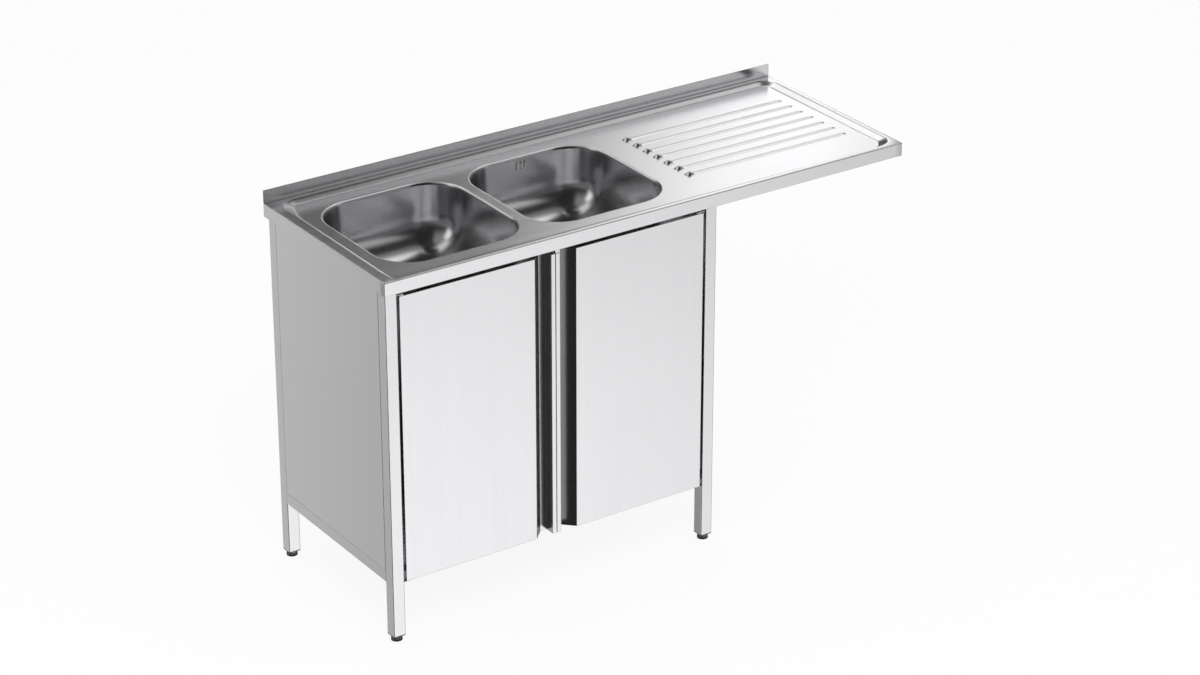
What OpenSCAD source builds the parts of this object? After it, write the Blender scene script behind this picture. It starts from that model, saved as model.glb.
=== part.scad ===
// Stainless sink cabinet: a pressed worktop with two bowls and a ribbed drainer that
// reaches past a welded tube frame, closed by two outward doors with full-height grips.
// Millimetres. X runs to the right, Y to the back, Z up; the floor is at Z 0.

/* [Worktop] */
// Width of the worktop
work_w = 1400; // [1360:10:1700]
// Depth of the worktop, front edge to back edge
work_d = 520; // [510:5:640]
// Height of the worktop's rim above the floor
work_h = 880; // [840:5:960]
// Thickness of the worktop's sheet
work_sheet = 1.2; // [1:0.1:2]
// Height of the folded front and side edges
apron_h = 32; // [31:1:45]
// Width of the fold under the overhanging edges
apron_return = 12; // [8:1:16]
// Height of the upstand at the back
splash_h = 31; // [15:1:90]
// Flat rim outside the pressed recess
rim_w = 13; // [10:1:20]
// Flat rim between the recess and the back edge
rim_back = 17; // [12:1:24]
// Width of the sloping wall of the recess
recess_slope = 20; // [12:1:24]
// Depth of the recess
recess_d = 6; // [4:0.5:8]
// Corner radius of the recess at the rim
recess_r = 40; // [34:1:56]

/* [Bowls] */
// Inside width of each bowl
bowl_w = 350; // [300:5:360]
// Depth of each bowl below the deck
bowl_depth = 160; // [140:5:200]
// Space between the two bowls
bowl_gap = 34; // [30:1:50]
// Distance from the front edge to the bowls
bowl_front = 67; // [60:1:75]
// Distance from the bowls to the back edge
bowl_behind = 83; // [80:1:95]
// Corner radius of a bowl seen from above
bowl_corner_r = 90; // [87:1:110]
// Radius between a bowl's walls and its floor
bowl_floor_r = 85; // [60:1:86]
// Radius of the rolled edge where the deck turns down into a bowl
bowl_lip_r = 6; // [4:0.5:8]
// Thickness of a bowl's sheet
bowl_sheet = 1; // [0.8:0.1:1.5]

/* [Overflow] */
// Number of overflow slots
slot_count = 3; // [2:1:3]
// Width of an overflow slot
slot_w = 5; // [4:0.5:6]
// Height of an overflow slot
slot_h = 20; // [14:1:20]
// Distance between overflow slots
slot_pitch = 10.7; // [8:0.1:12]
// Depth of the top of the slots below the deck
slot_drop = 10; // [9:1:14]
// Wall thickness of the overflow housing
shell_wall = 2; // [1.5:0.1:2.5]
// Gap between the overflow hose and the bowl's back wall
hose_gap = 1; // [0.5:0.1:2]
// Outer radius of the overflow housing's spigot
spigot_r = 8; // [7:0.5:9]
// Wall thickness of the overflow hose
hose_wall = 2; // [1.5:0.1:2.5]
// Bend radius of the overflow hose
hose_bend = 28; // [24:1:32]

/* [Drainer] */
// Number of ribs on the drainer
rib_count = 7; // [5:1:8]
// Distance between ribs
rib_pitch = 41.5; // [34:0.5:44]
// Length of a rib
rib_l = 431; // [380:1:450]
// Distance from the ribs' far ends to the right edge of the worktop
rib_margin = 71; // [60:1:90]
// Radius of a rib's rounded back
rib_r = 14; // [12:0.5:18]
// Height of a rib behind its knob
rib_h = 3; // [2.5:0.1:4]
// Height of a rib at its far end
rib_far_h = 2; // [1.5:0.1:2.4]
// Radius of the knob at a rib's bowl end
knob_end_r = 12; // [11:0.5:14]
// Height of the knob at a rib's bowl end
knob_end_h = 5; // [4.5:0.1:6]

/* [Frame] */
// Width of the cabinet under the worktop
cabinet_w = 870; // [850:5:900]
// Side of the square leg tube
tube = 30; // [28:1:34]
// Wall thickness of all tubes
tube_wall = 1.5; // [1.2:0.1:2]
// Outer corner radius of all tubes
tube_r = 2; // [1.7:0.1:3]
// Height of the flat tubes under the deck
rail_h = 20; // [16:1:22]
// Distance from the back legs to the back edge of the worktop
leg_setback = 19; // [12:1:26]
// Height of the legs' lower ends above the floor
leg_lift = 15; // [14:1:30]
// Height of the cabinet's lower edge above the floor
cabinet_lift = 143; // [120:1:180]
// Thickness of the side, back and shelf sheets
panel_sheet = 1; // [0.8:0.1:1.5]
// Width of the folds round the side and back sheets
panel_fold = 14; // [10:1:18]
// Seam between a leg and the sheet beside it
panel_seam = 0.6; // [0.4:0.1:0.9]
// Space between the back sheet's top and the drain's outlet above it
outlet_space = 8; // [5:1:60]
// Height of the folds at the shelf's front and back
shelf_fold = 25; // [18:1:28]

/* [Doors] */
// Space between the worktop's folded edge and the doors
door_top_gap = 8.5; // [8:0.1:10]
// Space between a leg and the door hung beside it
door_side_gap = 6; // [5.5:0.1:7]
// Height of the doors' lower edge above the cabinet's lower edge
door_foot_gap = 4.5; // [4.2:0.1:7]
// Space between the two doors
door_centre_gap = 1.6; // [1.4:0.1:3]
// Thickness of a door
door_t = 27; // [24:0.5:29]
// Thickness of a door's outer sheet
door_sheet = 1.2; // [1:0.1:1.5]
// Thickness of a door's inner sheet
liner_sheet = 1; // [0.8:0.1:1.2]
// Width of the flat floor of a door's grip
grip_floor = 17.5; // [16:0.5:24]
// Width of the front-flush lip that is pulled
grip_lip = 10.2; // [8:0.1:14]

/* [Hinges and catch] */
// Diameter of a hinge pin
pin_d = 6; // [5:0.5:8]
// Running clearance of a pin in its bush, on the radius
pin_clearance = 0.05; // [0.02:0.01:0.1]
// Distance of the hinge axis behind the doors' front face
pin_setback = 8; // [7.6:0.1:9]
// Distance of the hinge axis from a door's outer edge
pin_inset = 9; // [8.5:0.1:10]
// Length of a pin inside the door
pin_reach = 14; // [10:0.5:18]
// Thickness of a hinge plate
hinge_plate = 2; // [1.5:0.1:2.4]
// Wall thickness of a bush
bush_wall = 1.5; // [1.2:0.1:2]
// Flat left outside the pin at a hinge plate's end
plate_edge = 2; // [1.5:0.1:3]
// Thickness of a bush's flange
bush_flange = 1; // [0.8:0.1:1.2]
// Gap between a bush's flange and the hinge plate it turns on
bush_gap = 0.3; // [0.2:0.05:0.4]
// Width of the catch plate behind the doors' lips
catch_w = 62; // [56:1:80]
// Distance that the catch plate hangs below the doors' top edge
catch_drop = 40; // [34:1:60]
// Thickness of the catch plate
catch_sheet = 2; // [1.5:0.1:2.5]
// Width of the tab in front of the catch plate, over the right door's lip
catch_tab_w = 12; // [9:0.5:14]
// Radius of a catch magnet
magnet_r = 7; // [5:0.5:8]
// Thickness of a catch magnet
magnet_t = 3; // [2.5:0.1:4]
// Thickness of the steel strikes on the doors
strike_t = 1; // [0.8:0.1:1.2]
// Gap between a strike and its magnet with the door shut
strike_gap = 0.3; // [0.3:0.05:0.5]

/* [Feet] */
// Radius of a foot's pad
foot_r = 13; // [11:0.5:15]
// Thickness of a foot's pad
foot_pad_h = 5; // [4:0.5:6]
// Radius of a foot's stem
stem_r = 5; // [4:0.5:6]
// Running clearance of a stem in its insert, on the radius
stem_clearance = 0.05; // [0.02:0.01:0.1]
// Length of a foot's stem inside the insert
stem_l = 46; // [40:1:60]
// Width across the corners of a foot's adjusting hexagon
foot_hex = 19; // [17:0.5:21]
// Depth of an insert inside the leg
insert_depth = 32; // [24:1:38]
// Thickness of an insert's cap under the leg
insert_cap = 2; // [1.5:0.1:3]
// Gap between a foot's hexagon and the insert's cap
foot_gap = 0.3; // [0.2:0.05:0.5]

/* [Wastes and trap] */
// Radius of a waste's flange in the bowl
flange_r = 35; // [32:0.5:38]
// Thickness of a waste's flange
flange_t = 2; // [1.5:0.1:2.5]
// Outer radius of a waste's threaded body
waste_r = 24; // [23:0.5:26]
// Length of a waste's body below the bowl
waste_l = 62; // [58:1:80]
// Clearance round a waste's body in the bowl's floor
waste_clearance = 0.5; // [0.3:0.1:1]
// Outer radius of the drain pipes
pipe_r = 20; // [18:0.5:21]
// Wall thickness of the drain pipes
pipe_wall = 2; // [1.5:0.1:2.5]
// Bend radius of the drain pipes
pipe_bend = 38; // [32:1:50]
// Length of pipe held in each socket
pipe_grip = 15; // [12:1:20]
// Wall thickness of sockets, tee and trap
socket_wall = 4; // [3:0.2:4.5]
// Thickness of a waste's sealing ring
gasket_t = 3; // [2:0.1:3.5]
// Radius over the corners of a waste's nut
nut_r = 35; // [33:0.5:38]
// Height of a waste's nut
nut_h = 10; // [8:0.5:12]
// Distance from a waste's lower end to the centre of the tee
tee_drop = 60; // [56:1:90]
// Length of the tee's half body
tee_half = 38; // [36:1:44]
// Difference in radius between the tee's upright body and its branch
tee_swell = 1; // [0.5:0.1:1.5]
// Length of pipe that shows between the tee and the trap
trap_neck = 16; // [6:1:20]
// Radius of the trap's head
trap_r = 34; // [31:0.5:38]
// Height of the trap's head
trap_head_h = 52; // [48:1:60]
// Height of the trap's cup
trap_cup_h = 66; // [50:1:76]
// Radius of the trap's cup
trap_cup_r = 28; // [25:0.5:30]
// Width of the stop ring inside the outlet's coupler
coupler_stop = 2; // [1.5:0.1:3]
// Distance from the outlet's end to the back edge of the worktop
outlet_margin = 6; // [2:1:20]
// Radius of a plug's disc
plug_r = 25; // [23:0.5:28]
// Thickness of a plug's disc
plug_t = 4; // [3:0.5:6]
// Length of a plug's stopper below its disc
plug_stop = 12; // [8:1:20]
// Gap round a plug's stopper in the waste
plug_play = 1.2; // [0.8:0.1:2]
// Gap between a plug's disc and the waste's flange
plug_gap = 0.2; // [0.2:0.05:0.4]
// Radius of a plug's knob
knob_r = 7; // [5:0.5:9]
// Height of a plug's knob
knob_h = 12; // [9:1:16]

/* [Hidden] */

$fn = 64;
lap = 1;

left = -work_w / 2;
right = work_w / 2;
front = -work_d / 2;
back = work_d / 2;
deck_top = work_h - recess_d;
deck_under = deck_top - work_sheet;
apron_foot = work_h - apron_h;

recess_w = work_w - 2 * rim_w;
recess_l = work_d - rim_w - rim_back;
recess_y = (rim_w - rim_back) / 2;

frame_left = left + work_sheet;
frame_right = left + cabinet_w;
frame_front = front + work_sheet;
frame_back = back - leg_setback;
leg_left = frame_left + tube;
leg_right = frame_right - tube;
leg_front = frame_front + tube;
leg_back = frame_back - tube;
centre_x = (frame_left + frame_right) / 2;
rail_foot = deck_under - rail_h;
shelf_top = cabinet_lift + tube;

bowl_x = [centre_x - (bowl_w + bowl_gap) / 2, centre_x + (bowl_w + bowl_gap) / 2];
bowl_d = work_d - bowl_front - bowl_behind;
bowl_y = front + bowl_front + bowl_d / 2;
bowl_floor = deck_top - bowl_depth;
bowl_under = bowl_floor - bowl_sheet;
bowl_turn = min(bowl_floor_r, bowl_corner_r - bowl_sheet);
bowl_back = bowl_y + bowl_d / 2;
slot_top = deck_top - slot_drop;

rib_right = right - rib_margin;
rib_left = rib_right - rib_l;
rib_tilt = atan((rib_h - rib_far_h) / rib_l);

door_front = frame_front;
door_back = door_front + door_t;
door_foot = cabinet_lift + door_foot_gap;
door_head = apron_foot - door_top_gap;
door_h = door_head - door_foot;
door_w = centre_x - door_centre_gap / 2 - leg_left - door_side_gap;
grip_depth = door_t - door_sheet;
hinge_y = door_front + pin_setback;
hinge_x = leg_left + door_side_gap + pin_inset;
pin_r = pin_d / 2;
bush_r = pin_r + pin_clearance + bush_wall;
bush_l = pin_reach + lap;
eye_r = pin_r + plate_edge;

catch_front = door_back + strike_t + strike_gap;
strike_x = door_w - grip_lip - grip_floor / 2;
magnet_z = door_head - catch_drop / 2;

foot_hex_top = leg_lift - insert_cap - foot_gap;
leg_x = [frame_left + tube / 2, frame_right - tube / 2];
leg_y = [frame_front + tube / 2, frame_back - tube / 2];

waste_foot = bowl_floor - waste_l;
waste_bore = pipe_r;
nut_foot = bowl_under - gasket_t - nut_h;
tee_z = waste_foot - tee_drop;
tee_r = pipe_r + socket_wall;
trap_top = tee_z - tee_half - trap_neck;
trap_foot = trap_top - trap_head_h;
outlet_z = trap_top - trap_head_h / 2;
outlet_end = back - outlet_margin;
back_panel_h = outlet_z - tee_r - outlet_space - shelf_top;
hose_r = spigot_r + hose_wall;
shell_y = bowl_back + bowl_sheet + hose_gap + hose_r;
shell_back = shell_y + spigot_r;
shell_half = ((slot_count - 1) * slot_pitch + slot_w) / 2 + shell_wall + spigot_r / 2;
shell_top = deck_top - bowl_lip_r - lap;
shell_foot = slot_top - slot_h - shell_wall - spigot_r / 2;
hose_z = (nut_foot + waste_foot + pipe_grip) / 2;

steel = [0.80, 0.80, 0.82];
steel_dark = [0.62, 0.62, 0.65];
chrome = [0.86, 0.87, 0.89];
black = [0.08, 0.08, 0.09];
white = [0.92, 0.92, 0.90];
rubber = [0.16, 0.16, 0.17];

function heading(a, b) = (b - a) / norm(b - a);
function side_of(v) = [-v[1], v[0]];
// Corner i of a folded sheet's path, moved sideways by the sheet's thickness
function folded(path, i, t) =
    let (
        last = len(path) - 1,
        into = side_of(heading(path[max(i - 1, 0)], path[max(i, 1)])),
        out = side_of(heading(path[min(i, last - 1)], path[min(i + 1, last)]))
    )
    path[i] + t * (into + out) / (1 + into * out);

// Cross-section of a sheet that is folded along a path
module fold(path, t) {
    polygon(concat(path, [for (i = [len(path) - 1:-1:0]) folded(path, i, t)]));
}

// Extrudes a YZ outline along X
module along_x(x, l) {
    translate([x, 0, 0]) rotate([90, 0, 90]) linear_extrude(l) children();
}

// Extrudes an XZ outline along Y
module along_y(y, l) {
    translate([0, y + l, 0]) rotate([90, 0, 0]) linear_extrude(l) children();
}

module along_z(z, l) {
    translate([0, 0, z]) linear_extrude(l) children();
}

module rounded(w, d, r) {
    square([w - 2 * r, d], center = true);
    square([w, d - 2 * r], center = true);
    for (x = [-1, 1], y = [-1, 1])
        translate([x * (w / 2 - r), y * (d / 2 - r)]) circle(r);
}

module tube_outline(w, d) {
    difference() {
        rounded(w, d, tube_r);
        rounded(w - 2 * tube_wall, d - 2 * tube_wall, tube_r - tube_wall);
    }
}

// Outline of a tub's side: upright walls and a rounded turn into the floor
module tub_side(w, h, r) {
    translate([-w / 2 + r, 0]) square([w - 2 * r, h]);
    translate([-w / 2, r]) square([w, h - r]);
    intersection() {
        for (x = [-1, 1]) translate([x * (w / 2 - r), r]) circle(r);
        translate([-w / 2, 0]) square([w, r]);
    }
}

// A tub with rounded corners and floor, standing on Z 0
module tub(w, d, h, corner, turn) {
    for (x = [-1, 1], y = [-1, 1])
        translate([x * (w / 2 - corner), y * (d / 2 - corner), 0])
            rotate_extrude() intersection() {
                tub_side(2 * corner, h, turn);
                square([corner, h]);
            }
    along_x(-w / 2 + corner, w - 2 * corner) tub_side(d, h, turn);
    along_y(-d / 2 + corner, d - 2 * corner) tub_side(w, h, turn);
}

// Carries an outline round a rounded rectangle, with the outline's X pointing outwards
module round_rim(w, d, r) {
    for (i = [0:3]) {
        x = i == 0 || i == 3 ? 1 : -1;
        y = i < 2 ? 1 : -1;
        translate([x * (w / 2 - r), y * (d / 2 - r), 0])
            rotate([0, 0, 90 * i]) rotate_extrude(angle = 90) translate([r, 0]) children();
    }
    for (turn = [0, 180]) rotate([0, 0, turn]) {
        along_y(-d / 2 + r, d - 2 * r) translate([w / 2, 0]) children();
        rotate([0, 0, 90]) along_y(-w / 2 + r, w - 2 * r) translate([d / 2, 0]) children();
    }
}

// The recess pressed into the worktop, with sloping walls, its top at Z 0
module recess() {
    w = recess_w;
    d = recess_l;
    for (x = [-1, 1], y = [-1, 1])
        translate([x * (w / 2 - recess_r), y * (d / 2 - recess_r), -recess_d])
            cylinder(h = recess_d, r1 = recess_r - recess_slope, r2 = recess_r);
    along_x(-w / 2 + recess_r, w - 2 * recess_r)
        polygon([[-d / 2, 0], [-d / 2 + recess_slope, -recess_d],
                 [d / 2 - recess_slope, -recess_d], [d / 2, 0]]);
    along_y(-d / 2 + recess_r, d - 2 * recess_r)
        polygon([[-w / 2, 0], [-w / 2 + recess_slope, -recess_d],
                 [w / 2 - recess_slope, -recess_d], [w / 2, 0]]);
    along_z(0, lap) rounded(w, d, recess_r);
}

// One rib of the drainer, with a knob at its bowl end and lower towards its far end
module rib() {
    translate([rib_left, 0, deck_top + knob_end_h - knob_end_r]) sphere(knob_end_r);
    translate([rib_left, 0, deck_top + rib_h - rib_r]) rotate([0, rib_tilt, 0]) {
        rotate([0, 90, 0]) cylinder(h = rib_l, r = rib_r);
        translate([rib_l, 0, 0]) sphere(rib_r);
    }
}

module ribs() {
    intersection() {
        for (i = [0:rib_count - 1])
            translate([0, recess_y + (i - (rib_count - 1) / 2) * rib_pitch, 0]) rib();
        translate([rib_left - rib_r, front, deck_top - lap])
            cube([rib_l + 2 * rib_r, work_d, knob_end_h + 2 * lap]);
    }
}

// The worktop's outer form as a solid block
module pressed_block() {
    difference() {
        translate([left, front, apron_foot]) cube([work_w, work_d, apron_h]);
        translate([0, recess_y, work_h]) recess();
    }
    ribs();
}

module worktop() {
    color(steel) difference() {
        union() {
            difference() {
                pressed_block();
                intersection() {
                    translate([0, 0, -work_sheet]) pressed_block();
                    translate([left + work_sheet, front + work_sheet, apron_foot - lap])
                        cube([work_w - 2 * work_sheet, work_d, apron_h + lap]);
                }
            }
            translate([frame_right + apron_return, front, apron_foot])
                cube([right - frame_right - apron_return, apron_return, work_sheet]);
            translate([right - apron_return, front, apron_foot])
                cube([apron_return, work_d, work_sheet]);
        }
        for (x = bowl_x) translate([x, bowl_y, 0]) along_z(apron_foot, apron_h)
            rounded(bowl_w + 2 * bowl_lip_r, bowl_d + 2 * bowl_lip_r, bowl_corner_r + bowl_lip_r);
    }
}

// The upstand, welded on along the worktop's back edge
module upstand() {
    color(steel) translate([left, back - work_sheet, work_h])
        cube([work_w, work_sheet, splash_h]);
}

module bowl(x) {
    translate([x, bowl_y, 0]) {
        difference() {
            translate([0, 0, bowl_under])
                tub(bowl_w + 2 * bowl_sheet, bowl_d + 2 * bowl_sheet,
                    bowl_depth + bowl_sheet - bowl_lip_r,
                    bowl_corner_r + bowl_sheet, bowl_turn + bowl_sheet);
            translate([0, 0, bowl_floor])
                tub(bowl_w, bowl_d, bowl_depth, bowl_corner_r, bowl_turn);
            along_z(bowl_under - lap, bowl_sheet + 2 * lap) circle(waste_r + waste_clearance);
        }
        translate([0, 0, deck_top - bowl_lip_r]) round_rim(bowl_w, bowl_d, bowl_corner_r)
            translate([bowl_lip_r, 0]) intersection() {
                difference() {
                    circle(bowl_lip_r);
                    circle(bowl_lip_r - bowl_sheet);
                }
                translate([-bowl_lip_r, 0]) square(bowl_lip_r);
            }
    }
}

module left_bowl() {
    color(steel) bowl(bowl_x[0]);
}

// The right bowl has the overflow slots in its back wall
module right_bowl() {
    color(steel) difference() {
        bowl(bowl_x[1]);
        for (i = [0:slot_count - 1])
            translate([bowl_x[1] + (i - (slot_count - 1) / 2) * slot_pitch, 0, 0])
                along_y(bowl_back - lap, bowl_sheet + 2 * lap) {
                    translate([-slot_w / 2, slot_top - slot_h + slot_w / 2])
                        square([slot_w, slot_h - slot_w]);
                    translate([0, slot_top - slot_w / 2]) circle(slot_w / 2);
                    translate([0, slot_top - slot_h + slot_w / 2]) circle(slot_w / 2);
                }
    }
}

// A flat tube under the deck that runs along X
module beam_x(x, y, l) {
    translate([0, y + tube / 2, rail_foot + rail_h / 2])
        along_x(x, l) tube_outline(tube, rail_h);
}

// A flat tube under the deck that runs along Y
module beam_y(x, y, l) {
    translate([x + tube / 2, 0, rail_foot + rail_h / 2])
        along_y(y, l) tube_outline(tube, rail_h);
}

module drainer_front_beam() {
    color(steel_dark) beam_x(frame_right, frame_front, right - work_sheet - frame_right);
}

module drainer_back_beam() {
    color(steel_dark) beam_x(frame_right, leg_back, right - work_sheet - frame_right);
}

module drainer_end_beam() {
    color(steel_dark) beam_y(right - work_sheet - tube, leg_front, leg_back - leg_front);
}

module drainer_cross_beam() {
    middle = (frame_right + right) / 2;
    color(steel_dark) beam_y(middle - tube / 2, leg_front, leg_back - leg_front);
}

module leg(x, y) {
    color(steel) translate([x, y, 0]) along_z(leg_lift, deck_under - leg_lift)
        tube_outline(tube, tube);
}

module front_left_leg() { leg(leg_x[0], leg_y[0]); }
module front_right_leg() { leg(leg_x[1], leg_y[0]); }
module back_left_leg() { leg(leg_x[0], leg_y[1]); }
module back_right_leg() { leg(leg_x[1], leg_y[1]); }

module front_top_rail() {
    color(steel_dark) beam_x(leg_left, frame_front, leg_right - leg_left);
}

module back_top_rail() {
    color(steel_dark) beam_x(leg_left, leg_back, leg_right - leg_left);
}

module left_top_rail() {
    color(steel_dark) beam_y(frame_left, leg_front, leg_back - leg_front);
}

module right_top_rail() {
    color(steel_dark) beam_y(leg_right, leg_front, leg_back - leg_front);
}

module side_bottom_rail(x) {
    color(steel) translate([x + tube / 2, 0, cabinet_lift + tube / 2])
        along_y(leg_front, leg_back - leg_front) tube_outline(tube, tube);
}

module left_bottom_rail() { side_bottom_rail(frame_left); }
module right_bottom_rail() { side_bottom_rail(leg_right); }

module back_bottom_rail() {
    color(steel) translate([0, leg_back + tube / 2, cabinet_lift + tube / 2])
        along_x(leg_left, leg_right - leg_left) tube_outline(tube, tube);
}

// The shelf is folded down at the front, behind the doors, and at the back
module bottom_shelf() {
    shelf_front = catch_front + catch_sheet;
    color(steel_dark) along_x(leg_left, leg_right - leg_left)
        fold([[leg_back, shelf_top - shelf_fold], [leg_back, shelf_top],
              [shelf_front, shelf_top], [shelf_front, shelf_top - shelf_fold]], panel_sheet);
}

// A side sheet, flush with the legs' outer faces and folded in at its four edges
module side_panel() {
    y0 = leg_front + panel_seam;
    y1 = leg_back - panel_seam;
    along_z(shelf_top, rail_foot - shelf_top)
        fold([[panel_fold, y1], [0, y1], [0, y0], [panel_fold, y0]], panel_sheet);
    for (z = [shelf_top, rail_foot - panel_sheet])
        translate([panel_sheet, y0 + panel_sheet, z])
            cube([panel_fold - panel_sheet, y1 - y0 - 2 * panel_sheet, panel_sheet]);
}

module left_panel() {
    color(steel) translate([frame_left, 0, 0]) side_panel();
}

module right_panel() {
    color(steel) translate([frame_right, 0, 0]) mirror([1, 0, 0]) side_panel();
}

module back_panel() {
    x0 = leg_left + panel_seam;
    x1 = leg_right - panel_seam;
    color(steel) {
        along_z(shelf_top, back_panel_h)
            fold([[x0, frame_back - panel_fold], [x0, frame_back], [x1, frame_back],
                  [x1, frame_back - panel_fold]], -panel_sheet);
        for (z = [shelf_top, shelf_top + back_panel_h - panel_sheet])
            translate([x0 + panel_sheet, frame_back - panel_fold, z])
                cube([x1 - x0 - 2 * panel_sheet, panel_fold - panel_sheet, panel_sheet]);
    }
}

// Doors are drawn from their hinge edge, with X towards the free edge and Y inwards
grip_turn = door_w - grip_lip - grip_floor;
face_end = grip_turn - grip_depth;
box_t = door_t - liner_sheet;

module door_skin() {
    difference() {
        union() {
            linear_extrude(door_h)
                fold([[0, box_t], [0, 0], [face_end, 0], [grip_turn, grip_depth],
                      [door_w - grip_lip, grip_depth], [door_w - grip_lip, 0],
                      [door_w, 0], [door_w, door_t]], door_sheet);
            for (z = [0, door_h - door_sheet])
                along_z(z, door_sheet)
                    polygon([[0, 0], [face_end, 0], [face_end + box_t, box_t], [0, box_t]]);
        }
        translate([pin_inset, pin_setback, -lap]) cylinder(h = door_h + 2 * lap, r = bush_r);
    }
}

module door_liner() {
    slant = door_sheet * sqrt(2);
    translate([0, box_t, 0]) cube([face_end + box_t - slant, liner_sheet, door_h]);
}

module door_bushes() {
    for (end = [0, 1])
        translate([pin_inset, pin_setback, end * door_h]) mirror([0, 0, end])
            difference() {
                union() {
                    cylinder(h = bush_l, r = bush_r);
                    translate([0, 0, -bush_flange]) cylinder(h = bush_flange, r = bush_r + bush_wall);
                }
                translate([0, 0, -bush_flange - lap])
                    cylinder(h = bush_l + bush_flange + 2 * lap, r = pin_r + pin_clearance);
            }
}

module door_strike() {
    translate([strike_x, door_t, magnet_z - door_foot]) rotate([-90, 0, 0])
        cylinder(h = strike_t, r = magnet_r);
}

module left_place() {
    translate([leg_left + door_side_gap, door_front, door_foot]) children();
}

// The right door mirrors the left about the middle of the cabinet
module right_side() {
    translate([2 * centre_x, 0, 0]) mirror([1, 0, 0]) children();
}

module left_door_skin() { color(steel) left_place() door_skin(); }
module left_door_liner() { color(steel_dark) left_place() door_liner(); }
module left_door_bushes() { color(white) left_place() door_bushes(); }
module left_door_strike() { color(steel_dark) left_place() door_strike(); }
module right_door_skin() { color(steel) right_side() left_place() door_skin(); }
module right_door_liner() { color(steel_dark) right_side() left_place() door_liner(); }
module right_door_bushes() { color(white) right_side() left_place() door_bushes(); }
module right_door_strike() { color(steel_dark) right_side() left_place() door_strike(); }

// A plate welded to the leg that reaches over the door's edge and carries the pin, drawn
// for a door's lower end with the door's edge at Z 0
module pivot_hinge() {
    plate_top = -bush_flange - bush_gap;
    translate([-door_side_gap, pin_setback - eye_r, plate_top - hinge_plate])
        cube([door_side_gap + pin_inset, 2 * eye_r, hinge_plate]);
    translate([pin_inset, pin_setback, plate_top - hinge_plate])
        cylinder(h = hinge_plate, r = eye_r);
    translate([pin_inset, pin_setback, plate_top])
        cylinder(h = pin_reach - plate_top, r = pin_r);
}

module lower_hinge() {
    left_place() pivot_hinge();
}

module upper_hinge() {
    left_place() translate([0, 0, door_h]) mirror([0, 0, 1]) pivot_hinge();
}

module left_top_hinge() { color(steel_dark) upper_hinge(); }
module left_bottom_hinge() { color(steel_dark) lower_hinge(); }
module right_top_hinge() { color(steel_dark) right_side() upper_hinge(); }
module right_bottom_hinge() { color(steel_dark) right_side() lower_hinge(); }

// A plate behind the doors' lips, hung from the front rail, with a tab that shows in the
// gap over the right door's lip
module centre_catch() {
    tab_foot = door_head + strike_gap * 2;
    color(steel) difference() {
        union() {
            translate([centre_x - catch_w / 2, catch_front, door_head - catch_drop])
                cube([catch_w, catch_sheet, rail_foot - door_head + catch_drop]);
            translate([centre_x - catch_w / 2, frame_front + tube / 2, rail_foot - catch_sheet])
                cube([catch_w, catch_front - frame_front - tube / 2 + catch_sheet, catch_sheet]);
            translate([centre_x, frame_front + lap, rail_foot - catch_sheet])
                cube([catch_tab_w, tube / 2, catch_sheet]);
            translate([centre_x, frame_front + lap, tab_foot])
                cube([catch_tab_w, catch_sheet, rail_foot - tab_foot]);
        }
        magnet_seats(lap);
    }
}

module magnet_seats(extra) {
    for (x = [-1, 1])
        translate([centre_x + x * (door_centre_gap / 2 + door_w - strike_x),
                   catch_front - extra, magnet_z])
            rotate([-90, 0, 0]) cylinder(h = magnet_t + 2 * extra, r = magnet_r);
}

module catch_magnets() {
    color(black) magnet_seats(0);
}

// Plastic inserts that close the legs and guide the feet
module foot_inserts() {
    inside = tube - 2 * tube_wall;
    color(black) for (x = leg_x, y = leg_y) translate([x, y, 0]) difference() {
        union() {
            along_z(leg_lift - insert_cap, insert_cap) rounded(tube, tube, tube_r);
            along_z(leg_lift, insert_depth) rounded(inside, inside, tube_r - tube_wall);
        }
        translate([0, 0, leg_lift - insert_cap - lap])
            cylinder(h = insert_depth + insert_cap + 2 * lap, r = stem_r + stem_clearance);
    }
}

module foot(x, y) {
    translate([x, y, 0]) {
        color(black) cylinder(h = foot_pad_h, r = foot_r);
        color(chrome) {
            translate([0, 0, foot_pad_h])
                cylinder(h = foot_hex_top - foot_pad_h, r = foot_hex / 2, $fn = 6);
            translate([0, 0, foot_hex_top]) cylinder(h = stem_l, r = stem_r);
        }
    }
}

module front_left_foot() { foot(leg_x[0], leg_y[0]); }
module front_right_foot() { foot(leg_x[1], leg_y[0]); }
module back_left_foot() { foot(leg_x[0], leg_y[1]); }
module back_right_foot() { foot(leg_x[1], leg_y[1]); }

// Flange and threaded body of a bowl's waste
module waste(x) {
    translate([x, bowl_y, 0]) difference() {
        union() {
            translate([0, 0, bowl_floor]) cylinder(h = flange_t, r = flange_r);
            translate([0, 0, waste_foot]) cylinder(h = waste_l, r = waste_r);
        }
        translate([0, 0, waste_foot - lap])
            cylinder(h = waste_l + flange_t + 2 * lap, r = waste_bore);
    }
}

module left_waste() { color(chrome) waste(bowl_x[0]); }

// The right waste has a side port for the overflow hose
module right_waste() {
    bore = spigot_r - shell_wall;
    color(chrome) difference() {
        union() {
            waste(bowl_x[1]);
            difference() {
                translate([bowl_x[1], bowl_y, hose_z]) rotate([-90, 0, 0])
                    cylinder(h = waste_r + 2 * pipe_grip, r = spigot_r);
                translate([bowl_x[1], bowl_y, waste_foot - lap])
                    cylinder(h = waste_l + 2 * lap, r = waste_bore);
            }
        }
        translate([bowl_x[1], bowl_y, hose_z]) rotate([-90, 0, 0])
            cylinder(h = waste_r + 2 * pipe_grip + lap, r = bore);
    }
}

module waste_ring(x, z, h) {
    translate([x, bowl_y, z]) difference() {
        children();
        translate([0, 0, -lap]) cylinder(h = h + 2 * lap, r = waste_r);
    }
}

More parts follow.
